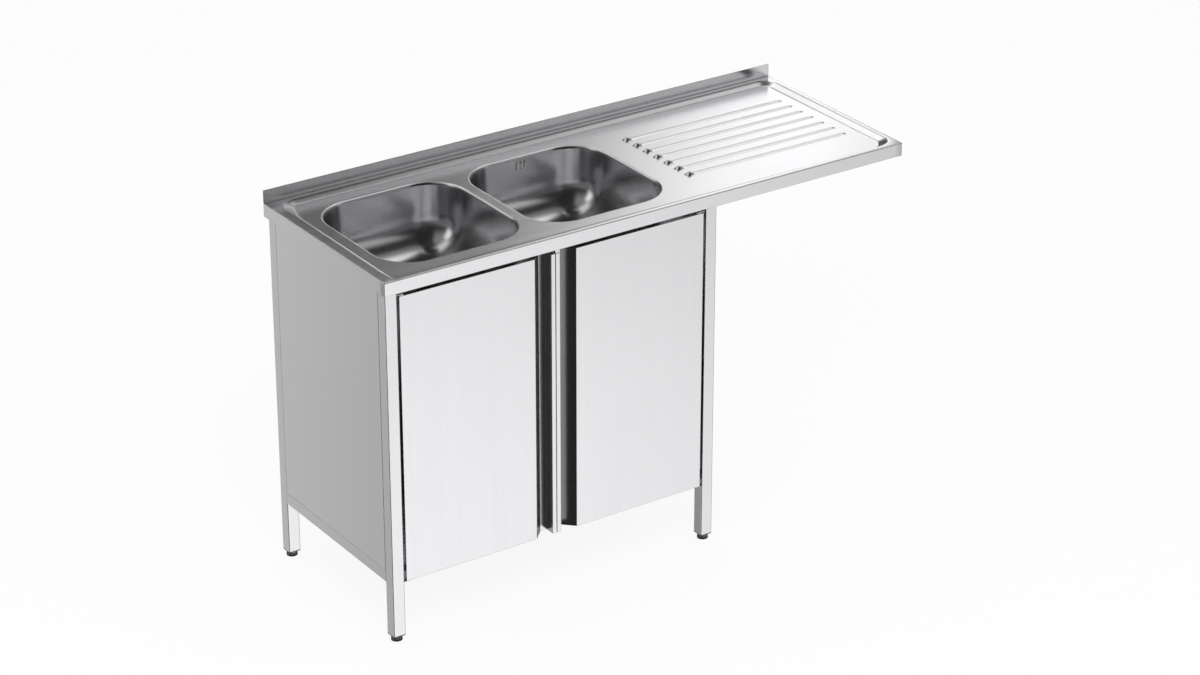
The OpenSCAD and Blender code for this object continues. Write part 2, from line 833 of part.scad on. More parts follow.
module gasket(x) {
    color(rubber) waste_ring(x, bowl_under - gasket_t, gasket_t)
        cylinder(h = gasket_t, r = flange_r - 1);
}

module waste_nut(x) {
    color(white) waste_ring(x, nut_foot, nut_h) cylinder(h = nut_h, r = nut_r, $fn = 8);
}

module left_waste_gasket() { gasket(bowl_x[0]); }
module right_waste_gasket() { gasket(bowl_x[1]); }
module left_waste_nut() { waste_nut(bowl_x[0]); }
module right_waste_nut() { waste_nut(bowl_x[1]); }

module plug(x) {
    seat = bowl_floor + flange_t + plug_gap;
    translate([x, bowl_y, seat]) {
        color(chrome) {
            cylinder(h = plug_t, r = plug_r);
            translate([0, 0, plug_t]) cylinder(h = knob_h - knob_r, r = knob_r / 2);
            translate([0, 0, plug_t + knob_h - knob_r / 2]) sphere(knob_r);
        }
        color(rubber) translate([0, 0, -plug_stop])
            cylinder(h = plug_stop, r = waste_bore - plug_play);
    }
}

module left_plug() { plug(bowl_x[0]); }
module right_plug() { plug(bowl_x[1]); }

// Housing behind the overflow slots, open towards the bowl
module overflow_shell() {
    x = bowl_x[1];
    y = bowl_back + bowl_sheet;
    room = 2 * (shell_half - shell_wall);
    depth = shell_back - shell_wall - y;
    color(white) difference() {
        union() {
            translate([x - shell_half, y, shell_foot])
                cube([2 * shell_half, shell_back - y, shell_top - shell_foot]);
            translate([x, shell_y, shell_foot - pipe_grip])
                cylinder(h = pipe_grip, r = spigot_r);
        }
        translate([x - room / 2, y - lap, shell_foot + shell_wall])
            cube([room, depth + lap, shell_top - shell_foot - 2 * shell_wall]);
        translate([x, shell_y, shell_foot - pipe_grip - lap])
            cylinder(h = pipe_grip + shell_wall + 2 * lap, r = spigot_r - shell_wall);
    }
}

// A hose from the overflow down and forwards to the right waste's side port
module overflow_hose() {
    port_y = bowl_y + waste_r + pipe_grip;
    bend_y = shell_y - hose_bend;
    bend_z = hose_z + hose_bend;
    color(rubber) {
        translate([bowl_x[1], shell_y, bend_z]) hose(shell_foot - bend_z);
        translate([bowl_x[1], bend_y, bend_z]) rotate([0, 90, 0])
            rotate_extrude(angle = 90) translate([hose_bend, 0]) hose_outline();
        translate([bowl_x[1], port_y, hose_z]) rotate([-90, 0, 0]) hose(bend_y - port_y);
    }
}

module hose_outline() {
    difference() {
        circle(hose_r);
        circle(spigot_r);
    }
}

module hose(l) {
    linear_extrude(l) hose_outline();
}

module pipe_outline() {
    difference() {
        circle(pipe_r);
        circle(pipe_r - pipe_wall);
    }
}

// From the left waste down and across into the tee
module left_drain_pipe() {
    x = bowl_x[0];
    bend_z = tee_z + pipe_bend;
    tee_x = bowl_x[1] - tee_r - pipe_grip;
    color(white) {
        translate([x, bowl_y, bend_z]) linear_extrude(waste_foot + pipe_grip - bend_z)
            pipe_outline();
        translate([x + pipe_bend, bowl_y, bend_z]) rotate([90, 0, 0]) rotate([0, 0, 180])
            rotate_extrude(angle = 90) translate([pipe_bend, 0]) pipe_outline();
        translate([x + pipe_bend, bowl_y, tee_z]) rotate([0, 90, 0])
            linear_extrude(tee_x + pipe_grip - x - pipe_bend) pipe_outline();
    }
}

module right_drain_pipe() {
    foot_z = tee_z + tee_half - pipe_grip;
    color(white) translate([bowl_x[1], bowl_y, foot_z])
        linear_extrude(waste_foot + pipe_grip - foot_z) pipe_outline();
}

// Joins both bowls' pipes above the trap
module drain_tee() {
    neck_foot = trap_top - pipe_grip;
    flow_r = pipe_r - pipe_wall;
    branch = tee_r + pipe_grip;
    color(white) translate([bowl_x[1], bowl_y, 0]) difference() {
        union() {
            translate([0, 0, tee_z - tee_half])
                cylinder(h = 2 * tee_half, r = tee_r + tee_swell);
            translate([0, 0, tee_z]) rotate([0, -90, 0]) cylinder(h = branch, r = tee_r);
            translate([0, 0, neck_foot]) cylinder(h = tee_z - neck_foot, r = pipe_r);
        }
        translate([0, 0, neck_foot - lap])
            cylinder(h = tee_z + tee_half - neck_foot + 2 * lap, r = flow_r);
        translate([0, 0, tee_z + tee_half - pipe_grip]) cylinder(h = pipe_grip + lap, r = pipe_r);
        translate([0, 0, tee_z]) rotate([0, -90, 0])
            cylinder(h = branch + lap, r = flow_r - tee_swell);
        translate([-tee_r, 0, tee_z]) rotate([0, -90, 0])
            cylinder(h = pipe_grip + lap, r = pipe_r);
    }
}

module trap_head() {
    color(white) translate([bowl_x[1], bowl_y, 0]) difference() {
        union() {
            translate([0, 0, trap_foot]) cylinder(h = trap_head_h, r = trap_r);
            translate([0, 0, outlet_z]) rotate([-90, 0, 0])
                cylinder(h = trap_r + pipe_grip, r = tee_r);
        }
        translate([0, 0, trap_foot - lap])
            cylinder(h = trap_head_h - socket_wall + lap, r = trap_cup_r);
        translate([0, 0, trap_top - socket_wall - lap])
            cylinder(h = socket_wall + 2 * lap, r = pipe_r);
        translate([0, 0, outlet_z]) rotate([-90, 0, 0])
            cylinder(h = trap_r + pipe_grip + lap, r = pipe_r);
    }
}

// The cup that is unscrewed to clean the trap
module trap_cup() {
    foot_z = trap_foot + pipe_grip / 2 - trap_cup_h;
    turn = trap_cup_r / 3;
    color(white) translate([bowl_x[1], bowl_y, foot_z]) difference() {
        rotate_extrude() intersection() {
            tub_side(2 * trap_cup_r, trap_cup_h, turn);
            square([trap_cup_r, trap_cup_h]);
        }
        translate([0, 0, pipe_wall])
            cylinder(h = trap_cup_h, r = trap_cup_r - socket_wall);
    }
}

module outlet_pipe() {
    start = bowl_y + trap_r;
    color(white) translate([bowl_x[1], start, outlet_z]) rotate([-90, 0, 0])
        linear_extrude(outlet_end - pipe_grip - coupler_stop - start) pipe_outline();
}

// Takes the building's drain pipe behind the cabinet
module outlet_coupler() {
    l = 2 * pipe_grip + coupler_stop;
    color(white) translate([bowl_x[1], outlet_end - l, outlet_z]) rotate([-90, 0, 0])
        difference() {
            cylinder(h = l, r = tee_r);
            translate([0, 0, -lap]) cylinder(h = l + 2 * lap, r = pipe_r - pipe_wall);
            translate([0, 0, -lap]) cylinder(h = pipe_grip + lap, r = pipe_r);
            translate([0, 0, pipe_grip + coupler_stop])
                cylinder(h = pipe_grip + lap, r = pipe_r);
        }
}

worktop();
upstand();
left_bowl();
right_bowl();
drainer_front_beam();
drainer_back_beam();
drainer_end_beam();
drainer_cross_beam();
front_left_leg();
front_right_leg();
back_left_leg();
back_right_leg();
front_top_rail();
back_top_rail();
left_top_rail();
right_top_rail();
left_bottom_rail();
right_bottom_rail();
back_bottom_rail();
bottom_shelf();
left_panel();
right_panel();
back_panel();
left_door_skin();
left_door_liner();
left_door_bushes();
left_door_strike();
right_door_skin();
right_door_liner();
right_door_bushes();
right_door_strike();
left_top_hinge();
left_bottom_hinge();
right_top_hinge();
right_bottom_hinge();
centre_catch();
catch_magnets();
foot_inserts();
front_left_foot();
front_right_foot();
back_left_foot();
back_right_foot();
left_waste();
right_waste();
left_waste_gasket();
right_waste_gasket();
left_waste_nut();
right_waste_nut();
left_plug();
right_plug();
overflow_shell();
overflow_hose();
left_drain_pipe();
right_drain_pipe();
drain_tee();
trap_head();
trap_cup();
outlet_pipe();
outlet_coupler();
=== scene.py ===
"""Stainless sink cabinet with two bowls, a ribbed drainer and two grip-edge doors."""

import math
from typing import NamedTuple

import bmesh
import bpy
import numpy as np
from bpy.props import (
    FloatProperty,
    FloatVectorProperty,
    IntProperty,
    PointerProperty,
)
from bpy.types import Operator, Panel, PropertyGroup
from mathutils import Matrix, Vector
from mathutils.geometry import delaunay_2d_cdt


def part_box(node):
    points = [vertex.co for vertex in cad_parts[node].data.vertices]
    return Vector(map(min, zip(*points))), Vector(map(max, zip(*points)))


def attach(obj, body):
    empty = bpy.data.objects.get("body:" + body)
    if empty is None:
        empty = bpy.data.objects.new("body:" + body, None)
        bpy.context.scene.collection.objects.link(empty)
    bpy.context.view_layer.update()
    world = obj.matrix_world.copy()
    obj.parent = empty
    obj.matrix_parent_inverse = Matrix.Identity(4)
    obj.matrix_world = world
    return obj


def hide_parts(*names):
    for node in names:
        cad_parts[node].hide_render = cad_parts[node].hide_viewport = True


bl_info = {
    "name": "Sink cabinet",
    "version": (1, 0, 0),
    "blender": (4, 5, 0),
    "location": "View3D > Sidebar > Sink cabinet",
    "description": "Pressed worktop, drainer, finishes and studio for a steel sink cabinet",
    "category": "Object",
}

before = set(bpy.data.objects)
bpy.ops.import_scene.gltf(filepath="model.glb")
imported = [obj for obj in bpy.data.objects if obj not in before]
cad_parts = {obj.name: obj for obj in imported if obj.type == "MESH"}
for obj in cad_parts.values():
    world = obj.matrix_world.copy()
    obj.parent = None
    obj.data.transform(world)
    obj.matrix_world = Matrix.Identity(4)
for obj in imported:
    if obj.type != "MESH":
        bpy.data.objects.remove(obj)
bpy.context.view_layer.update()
BODY = "cabinet"
TOP_LOW, TOP_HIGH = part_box("worktop")
SPLASH_LOW, SPLASH_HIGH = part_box("upstand")
MM = 0.001
BOWLS = ("left_bowl", "right_bowl")


def mm_size(name, description, default, least, most):
    """A size of a property group, given in millimetres and kept in metres."""
    return FloatProperty(
        name=name, description=description, default=default * MM,
        min=least * MM, max=most * MM, unit="LENGTH", precision=4,
    )


def paint(name, description, default):
    """A colour of a property group."""
    return FloatVectorProperty(
        name=name, description=description, default=default,
        subtype="COLOR", size=3, min=0, max=1,
    )


class WorktopSizes(PropertyGroup):
    """The pressed worktop's own sizes."""

    sheet: mm_size("Sheet", "Thickness of the steel sheet", 1.2, 0.5, 3)
    edge_bend: mm_size("Edge bend", "Outer radius of the bend into the folded edges", 1.8, 0.5, 6)
    splash_bend: mm_size("Upstand bend", "Radius between the deck and the upstand", 2.5, 0.5, 8)
    rim: mm_size("Rim", "Flat rim at the front and right of the recess", 13, 6, 30)
    rim_left: mm_size("Left rim", "Flat rim between the left edge and the recess", 27, 6, 32)
    rim_back: mm_size("Back rim", "Flat rim between the recess and the back edge", 17, 6, 40)
    slope: mm_size("Slope", "Width of the recess's sloping wall", 20, 5, 40)
    press: mm_size("Press radius", "Width over which each edge of the slope is rounded", 7, 1, 12)
    recess: mm_size("Recess", "Depth of the recess", 6, 1, 15)
    recess_corner: mm_size("Recess corner", "Radius of the recess's corners at the rim", 40, 10, 90)
    cut_corner: mm_size("Cut-out corner", "Corner radius of the bowls' cut-outs", 96, 20, 150)
    fold: mm_size("Fold", "Width of the fold under the overhanging edges", 12, 3, 30)
    steep: FloatProperty(
        name="Steep", description="Width of the left and front slopes, as a share of the slope",
        default=0.22, min=0.1, max=1,
    )
    tail: mm_size("Tail", "Length over which the left slope narrows from the back corner", 85, 45, 200)
    even: mm_size("Even", "Distance inside the recess beyond which nothing moves", 34, 28, 35)


class BowlSizes(PropertyGroup):
    """The pressed bowls' own sizes."""

    sheet: mm_size("Sheet", "Thickness of the bowls' sheet", 1.0, 0.5, 2)
    lip: mm_size("Lip", "Radius of the roll from the deck into the bowl", 6, 2, 15)
    corner: mm_size("Corner", "Radius of the bowls' upright corners", 90, 30, 150)
    turn: mm_size("Turn", "Radius between the walls and the floor", 85, 10, 88)
    seat: mm_size("Seat", "Radius of the round seat pressed for the waste", 46, 38, 70)
    sink: mm_size("Fall", "How far the floor falls to the seat", 1.5, 0.0, 6)
    hole: mm_size("Hole", "Radius of the hole for the waste", 24.5, 15, 34)
    slot_width: mm_size("Slot width", "Width of an overflow slot", 5, 2, 10)
    slot_height: mm_size("Slot height", "Height of an overflow slot", 20, 8, 40)
    slot_pitch: mm_size("Slot pitch", "Distance between overflow slots", 10.7, 6, 20)
    slot_drop: mm_size("Slot drop", "Depth of the slots' upper ends below the deck", 10, 7, 60)


class DrainerSizes(PropertyGroup):
    """The drainer's ribs."""

    count: IntProperty(name="Ribs", description="Number of ribs", default=7, min=1, max=20)
    pitch: mm_size("Pitch", "Distance between ribs", 41.5, 10, 90)
    length: mm_size("Length", "Length of a rib", 440, 50, 700)
    margin: mm_size("Margin", "Distance from the ribs' far ends to the right edge", 71, 20, 200)
    half_width: mm_size("Half width", "Half the width of a rib at the deck", 7.8, 2, 20)
    height: mm_size("Height", "Height of a rib behind its knob", 2.6, 0.5, 10)
    far_height: mm_size("Far height", "Height of a rib at its far end", 2, 0.5, 10)
    knob_radius: mm_size("Knob radius", "Radius of the knob at a rib's bowl end", 11.5, 3, 20)
    knob_height: mm_size("Knob height", "Height of the knob at a rib's bowl end", 7.5, 1, 10)


class HoseSizes(PropertyGroup):
    """The corrugated overflow hose."""

    pitch: mm_size("Pitch", "Distance between two corrugations", 4.5, 2, 12)
    depth: mm_size("Depth", "Depth of a corrugation", 1.1, 0.2, 3)
    bend: mm_size("Bend", "Bend radius of the hose's centre line", 28, 15, 60)


class Finishes(PropertyGroup):
    """Colours and gloss of the finishes."""

    steel: paint("Sheet steel", "Colour of the sheet steel's reflection", (0.80, 0.80, 0.815))
    tube: paint("Tube steel", "Colour of the square tube's reflection", (0.78, 0.78, 0.795))
    gloss: FloatProperty(
        name="Steel roughness", description="Roughness of the satin steel",
        subtype="FACTOR", default=0.24, min=0.02, max=1,
    )
    edge: mm_size("Edge radius", "Radius of the rounding seen on folded edges", 1.1, 0.1, 5)
    plastic: paint("Drain plastic", "Colour of the drain's plastic", (0.80, 0.80, 0.77))
    black: paint("Black plastic", "Colour of the inserts and the overflow's housing", (0.022, 0.022, 0.024))
    rubber: paint("Rubber", "Colour of the seals and the hose", (0.035, 0.035, 0.037))


class Studio(PropertyGroup):
    """Floor, lamp and camera."""

    floor: paint("Floor", "Colour of the floor", (1.0, 1.0, 1.0))
    lamp: FloatProperty(
        name="Lamp", description="Power of the large soft lamp",
        default=60, min=0, max=1000, unit="POWER",
    )
    lens: FloatProperty(
        name="Lens", description="Focal length of the camera on a 36 mm wide sensor",
        default=103.653, min=20, max=300,
    )
    place: FloatVectorProperty(
        name="Camera place", description="Where the camera stands",
        subtype="XYZ", unit="LENGTH", size=3, default=(-4.0600, -6.0028, 3.9178),
    )
    heading: FloatProperty(
        name="Camera heading", description="Where the camera looks, from +X to +Y",
        subtype="ANGLE", default=math.radians(55.7353), min=-math.pi, max=math.pi,
    )
    tilt: FloatProperty(
        name="Camera tilt", description="How far the camera looks down",
        subtype="ANGLE", default=math.radians(25.4794), min=-math.pi / 2, max=math.pi / 2,
    )
    roll: FloatProperty(
        name="Camera roll", description="Turn of the camera about its own view",
        subtype="ANGLE", default=math.radians(0.0411), min=-math.pi, max=math.pi,
    )


class Signal:
    """A socket of a node tree that takes part in Python's arithmetic."""

    def __init__(self, graph, socket):
        self.graph = graph
        self.socket = socket

    def maths(self, operation, *others, clamp=False):
        values = dict(enumerate((self, *others)))
        settings = {"operation": operation, "use_clamp": clamp}
        return self.graph.signal(self.graph.MATHS, settings, values)

    def __add__(self, other):
        return self.maths("ADD", other)

    def __sub__(self, other):
        return self.maths("SUBTRACT", other)

    def __mul__(self, other):
        return self.maths("MULTIPLY", other)

    def __truediv__(self, other):
        return self.maths("DIVIDE", other)

    def __rsub__(self, other):
        settings = {"operation": "SUBTRACT"}
        return self.graph.signal(self.graph.MATHS, settings, {0: other, 1: self})

    def __rtruediv__(self, other):
        settings = {"operation": "DIVIDE"}
        return self.graph.signal(self.graph.MATHS, settings, {0: other, 1: self})

    def __neg__(self):
        return self * -1.0

    __radd__ = __add__
    __rmul__ = __mul__

    def clamp(self):
        return self.maths("ADD", 0.0, clamp=True)

    def least(self, other):
        return self.maths("MINIMUM", other)

    def most(self, other):
        return self.maths("MAXIMUM", other)

    def root(self):
        return self.maths("SQRT")

    def step(self, low, high):
        """0 below low, 1 above high and smooth between them."""
        settings = {"interpolation_type": "SMOOTHSTEP"}
        values = {"Value": self, "From Min": low, "From Max": high}
        return self.graph.signal("ShaderNodeMapRange", settings, values)


class Graph:
    """A node tree and the one method that adds its nodes."""

    MATHS = "ShaderNodeMath"
    COLUMNS = 12
    SPACING = (170, -230)

    def __init__(self, tree):
        self.tree = tree
        self.count = 0

    def node(self, kind, settings=None, values=None):
        made = self.tree.nodes.new(kind)
        self.count += 1
        row, column = divmod(self.count, self.COLUMNS)
        made.location = (self.SPACING[0] * column, self.SPACING[1] * row)
        for key, value in (settings or {}).items():
            setattr(made, key, value)
        for key, value in (values or {}).items():
            socket = made.inputs[key]
            if isinstance(value, Signal):
                self.tree.links.new(value.socket, socket)
            elif isinstance(value, bpy.types.NodeSocket):
                self.tree.links.new(value, socket)
            elif value is not None:
                socket.default_value = value
        return made

    def signal(self, kind, settings=None, values=None, output=0):
        return Signal(self, self.node(kind, settings, values).outputs[output])

    def split(self, vector):
        parts = self.node("ShaderNodeSeparateXYZ", values={0: vector})
        return [Signal(self, parts.outputs[i]) for i in range(3)]

    def place(self):
        return self.signal("ShaderNodeTexCoord", output="Object")

    def noise(self, vector, scale, detail, roughness):
        values = {"Vector": vector, "Scale": scale, "Detail": detail, "Roughness": roughness}
        return self.signal("ShaderNodeTexNoise", values=values)

    def stretched(self, vector, scale):
        return self.signal("ShaderNodeMapping", values={"Vector": vector, "Scale": scale})

    def blend(self, share, first, second):
        """A colour between two others."""
        made = self.node("ShaderNodeMix", {"data_type": "RGBA"})
        sockets = [s for s in made.inputs if s.enabled]
        for socket, value in zip(sockets, (share, first, second)):
            if isinstance(value, Signal):
                self.tree.links.new(value.socket, socket)
            elif isinstance(value, (int, float)):
                socket.default_value = value
            else:
                socket.default_value = (*value, 1.0)[:4]
        return Signal(self, next(s for s in made.outputs if s.enabled))


def finish(name):
    """A new material with an empty tree and its graph."""
    made = bpy.data.materials.new(name)
    made.use_nodes = True
    made.node_tree.nodes.clear()
    return made, Graph(made.node_tree)


def close(graph, values):
    """Ends a material in one principled surface."""
    surface = graph.node("ShaderNodeBsdfPrincipled", values=values)
    graph.node("ShaderNodeOutputMaterial", values={"Surface": surface.outputs[0]})


def shade(colour, by):
    return tuple(min(1.0, c * by) for c in colour[:3])


def swing(noise, by, middle=0.5):
    """Noise that swings round 0 instead of round its middle."""
    return (noise - middle) * by


def grained(g, at, axis, across, along, detail, roughness):
    """Noise with one scale along an axis and another across it, in waves a metre."""
    scale = [across, across, across]
    scale["XYZ".index(axis)] = along
    return g.noise(g.stretched(at, scale), 1.0, detail, roughness)


def relief(g, height, strength, depth, edge, samples=6):
    """A normal with a fine relief and with edges that look rounded."""
    rounded = g.node("ShaderNodeBevel", {"samples": samples}, {"Radius": edge})
    bump = g.node("ShaderNodeBump", values={
        "Strength": strength, "Distance": depth, "Height": height,
        "Normal": rounded.outputs[0],
    })
    return bump.outputs[0]


def satin_steel(name, colour, roughness, edge, grain):
    """Satin-ground steel sheet, with the grinding lines along the grain axis."""
    made, g = finish(name)
    at = g.place()
    lines = grained(g, at, grain, across=900.0, along=9.0, detail=3.0, roughness=0.6)
    bands = grained(g, at, grain, across=90.0, along=2.0, detail=2.0, roughness=0.5)
    speckle = g.noise(at, scale=420.0, detail=1.0, roughness=0.5)
    cloud = g.noise(at, scale=2.6, detail=3.0, roughness=0.55)
    tone = swing(bands, 0.40) + swing(cloud, 0.35) + swing(speckle, 0.30)
    base = g.blend((tone + 0.5).clamp(), shade(colour, 0.95), shade(colour, 1.04))
    rough = roughness + swing(bands, 0.05) + swing(cloud, 0.04) + swing(speckle, 0.04)
    height = lines * 0.5 + bands * 0.9 + speckle * 0.5
    normal = relief(g, height, strength=0.018, depth=0.25 * MM, edge=edge)
    close(g, {"Base Color": base, "Metallic": 1.0, "Roughness": rough, "Normal": normal})
    return made


def polished_steel(name, colour, roughness, edge):
    """Polished metal with faint turning marks and wipe marks."""
    made, g = finish(name)
    at = g.place()
    wipe = g.noise(at, scale=60.0, detail=4.0, roughness=0.6)
    marks = grained(g, at, "Z", across=30.0, along=2500.0, detail=2.0, roughness=0.5)
    rough = roughness + swing(wipe, 0.10, middle=0.45)
    base = g.blend(wipe, shade(colour, 0.94), shade(colour, 1.03))
    normal = relief(g, marks, strength=0.06, depth=0.1 * MM, edge=edge)
    close(g, {"Base Color": base, "Metallic": 1.0, "Roughness": rough, "Normal": normal})
    return made


def moulded(name, colour, roughness, edge, grain=900.0, coat=0.0):
    """Injection-moulded plastic or rubber with a fine grain and uneven gloss."""
    made, g = finish(name)
    at = g.place()
    skin = g.noise(at, scale=grain, detail=2.0, roughness=0.6)
    flow = g.noise(at, scale=14.0, detail=3.0, roughness=0.5)
    dust = g.noise(at, scale=85.0, detail=4.0, roughness=0.65).step(0.52, 0.75)
    base = g.blend(flow, shade(colour, 0.92), shade(colour, 1.06))
    dusty = tuple(min(1.0, c * 0.8 + 0.12) for c in colour[:3])
    base = g.blend(dust * 0.12, base, dusty)
    rough = roughness + swing(flow, 0.10) + swing(skin, 0.10) + dust * 0.08
    height = skin + flow * 0.3
    normal = relief(g, height, strength=0.25, depth=0.08 * MM, edge=edge, samples=4)
    close(g, {"Base Color": base, "Roughness": rough, "Coat Weight": coat,
              "Normal": normal})
    return made


def foot_finish(name, black, metal, edge, pad):
    """Black pad below, zinc-plated hexagon and stem above."""
    made, g = finish(name)
    at = g.place()
    height = g.split(at)[2]
    border = 0.1 * MM
    plated = height.step(pad - border, pad + border)
    skin = g.noise(at, scale=700.0, detail=2.0, roughness=0.6)
    stain = g.noise(at, scale=120.0, detail=3.0, roughness=0.6)
    rubber = g.blend(skin, shade(black, 0.8), shade(black, 1.5))
    zinc = g.blend(stain, shade(metal, 0.78), shade(metal, 1.05))
    matt, bright = 0.55 + swing(skin, 0.15), 0.24 + stain * 0.16
    rough = matt * (1.0 - plated) + bright * plated
    normal = relief(g, skin, strength=0.2, depth=0.1 * MM, edge=edge)
    close(g, {"Base Color": g.blend(plated, rubber, zinc), "Metallic": plated,
              "Roughness": rough, "Normal": normal})
    return made


def dress(names, material):
    for name in names:
        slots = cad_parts[name].data.materials
        slots.clear()
        slots.append(material)


def add_mesh(name, build, material):
    """A new mesh object at the origin from a filled bmesh."""
    mesh = bpy.data.meshes.new(name)
    build.to_mesh(mesh)
    build.free()
    mesh.materials.append(material)
    made = bpy.data.objects.new(name, mesh)
    bpy.context.scene.collection.objects.link(made)
    return made


def settle(piece):
    """Applies a piece's modifiers, so that a plain mesh is left."""
    graph = bpy.context.evaluated_depsgraph_get()
    mesh = bpy.data.meshes.new_from_object(
        piece.evaluated_get(graph), preserve_all_data_layers=True, depsgraph=graph
    )
    piece.modifiers.clear()
    name = piece.data.name
    piece.data = mesh
    mesh.name = name


def thicken(piece, thickness):
    """Gives a sheet its thickness, away from the side that its faces show."""
    sheet = piece.modifiers.new("Sheet", "SOLIDIFY")
    sheet.thickness = thickness
    sheet.offset = -1.0
    sheet.use_even_offset = True
    sheet.use_quality_normals = True


def soften(mesh, degrees):
    """Smooth shading, except over edges that turn by more than some degrees."""
    for face in mesh.polygons:
        face.use_smooth = True
    mesh.set_sharp_from_angle(angle=math.radians(degrees))


# Spacing of the points along straights, round the recess and round the bowls
STRAIGHT = 20 * MM
RECESS_TURN = 3 * MM
BOWL_TURN = 4 * MM
# The fewest parts of a corner, and its least radius
FEWEST_PARTS = 8
SMALLEST = 0.01 * MM
# Points closer than the first are merged, and faces narrower than the second removed
WELD = 0.002 * MM
SLIVER = 0.001 * MM


def quarter_turn(parts):
    """Angles from 0 to a right angle, with both ends."""
    return [math.pi / 2 * k / parts for k in range(parts + 1)]


def rounded_loop(low, high, radius, inset, turn):
    """Points round a rounded rectangle, inset from low and high, turn apart on its arcs."""
    r = max(radius - inset, SMALLEST)
    x0, y0 = low[0] + inset, low[1] + inset
    x1, y1 = high[0] - inset, high[1] - inset
    corners = ((x1 - r, y1 - r), (x0 + r, y1 - r), (x0 + r, y0 + r), (x1 - r, y0 + r))
    arcs = max(FEWEST_PARTS, round(radius * math.pi / 2 / turn))
    points = []
    for i, (cx, cy) in enumerate(corners):
        for k in range(arcs + 1):
            a = math.pi / 2 * (i + k / arcs)
            points.append((cx + r * math.cos(a), cy + r * math.sin(a)))
        a = math.pi / 2 * (i + 1)
        start = np.array(points[-1])
        nx, ny = corners[(i + 1) % 4]
        end = np.array((nx + r * math.cos(a), ny + r * math.sin(a)))
        parts = max(1, round(float(np.linalg.norm(end - start)) / STRAIGHT))
        points += [tuple(start + (end - start) * k / parts) for k in range(1, parts)]
    return points


def depth_inside(x, y, low, high, radius):
    """How far a point lies inside a rounded rectangle; negative outside it."""
    qx = abs(x - (low[0] + high[0]) / 2) - (high[0] - low[0]) / 2 + radius
    qy = abs(y - (low[1] + high[1]) / 2) - (high[1] - low[1]) / 2 + radius
    outside = math.hypot(max(qx, 0.0), max(qy, 0.0))
    return radius - outside - min(max(qx, qy), 0.0)


def pressed(t, slope, press):
    """Share of the recess's depth at t inside its edge: round, straight, round."""
    t += press / 2
    if t <= 0:
        return 0.0
    if t < press:
        return t * t / (2 * press) / slope
    if t < slope:
        return (t - press / 2) / slope
    if t < slope + press:
        return 1.0 - (slope + press - t) ** 2 / (2 * press) / slope
    return 1.0


def nearer(place, edge, share, s):
    """A place moved towards the left or front edge, where the recess is steeper."""
    inside = place - edge
    if not 0 < inside < s.even:
        return place
    foot = s.slope * s.steep
    if inside < s.slope:
        moved = edge + inside * s.steep
    else:
        moved = edge + foot + (inside - s.slope) * (s.even - foot) / (s.even - s.slope)
    return place + (moved - place) * share


def steepness(distance, s, fade):
    """0 where a slope is wide, 1 where it is steep, with an even change between."""
    start, end = (s.tail * share for share in fade)
    return min(1.0, max(0.0, (distance - start) / (end - start)))


# Where the left and the front slope start and end to turn steep, in shares of the tail
LEFT_FADE = (0.4, 1.0)
FRONT_FADE = (0.3, 0.6)
# Points along the deck's long and short edges
LONG_POINTS = 71
SHORT_POINTS = 27
# Distance of the rows beside a bend that keep its shading off the flat
GUARD = 1.5 * MM
FLOOR_GUARD = 2 * MM
# The grid of points on the flat: its spacing, its start and end inside the edges, and
# how far it stays from the cut-outs and inside the recess's edge
GRID = 30 * MM
GRID_START = 45 * MM
GRID_END = 40 * MM
CUT_CLEAR = 8 * MM
SLOPE_CLEAR = 30 * MM
# Distance within which the deck's net takes points as one
TOUCH = 1e-7


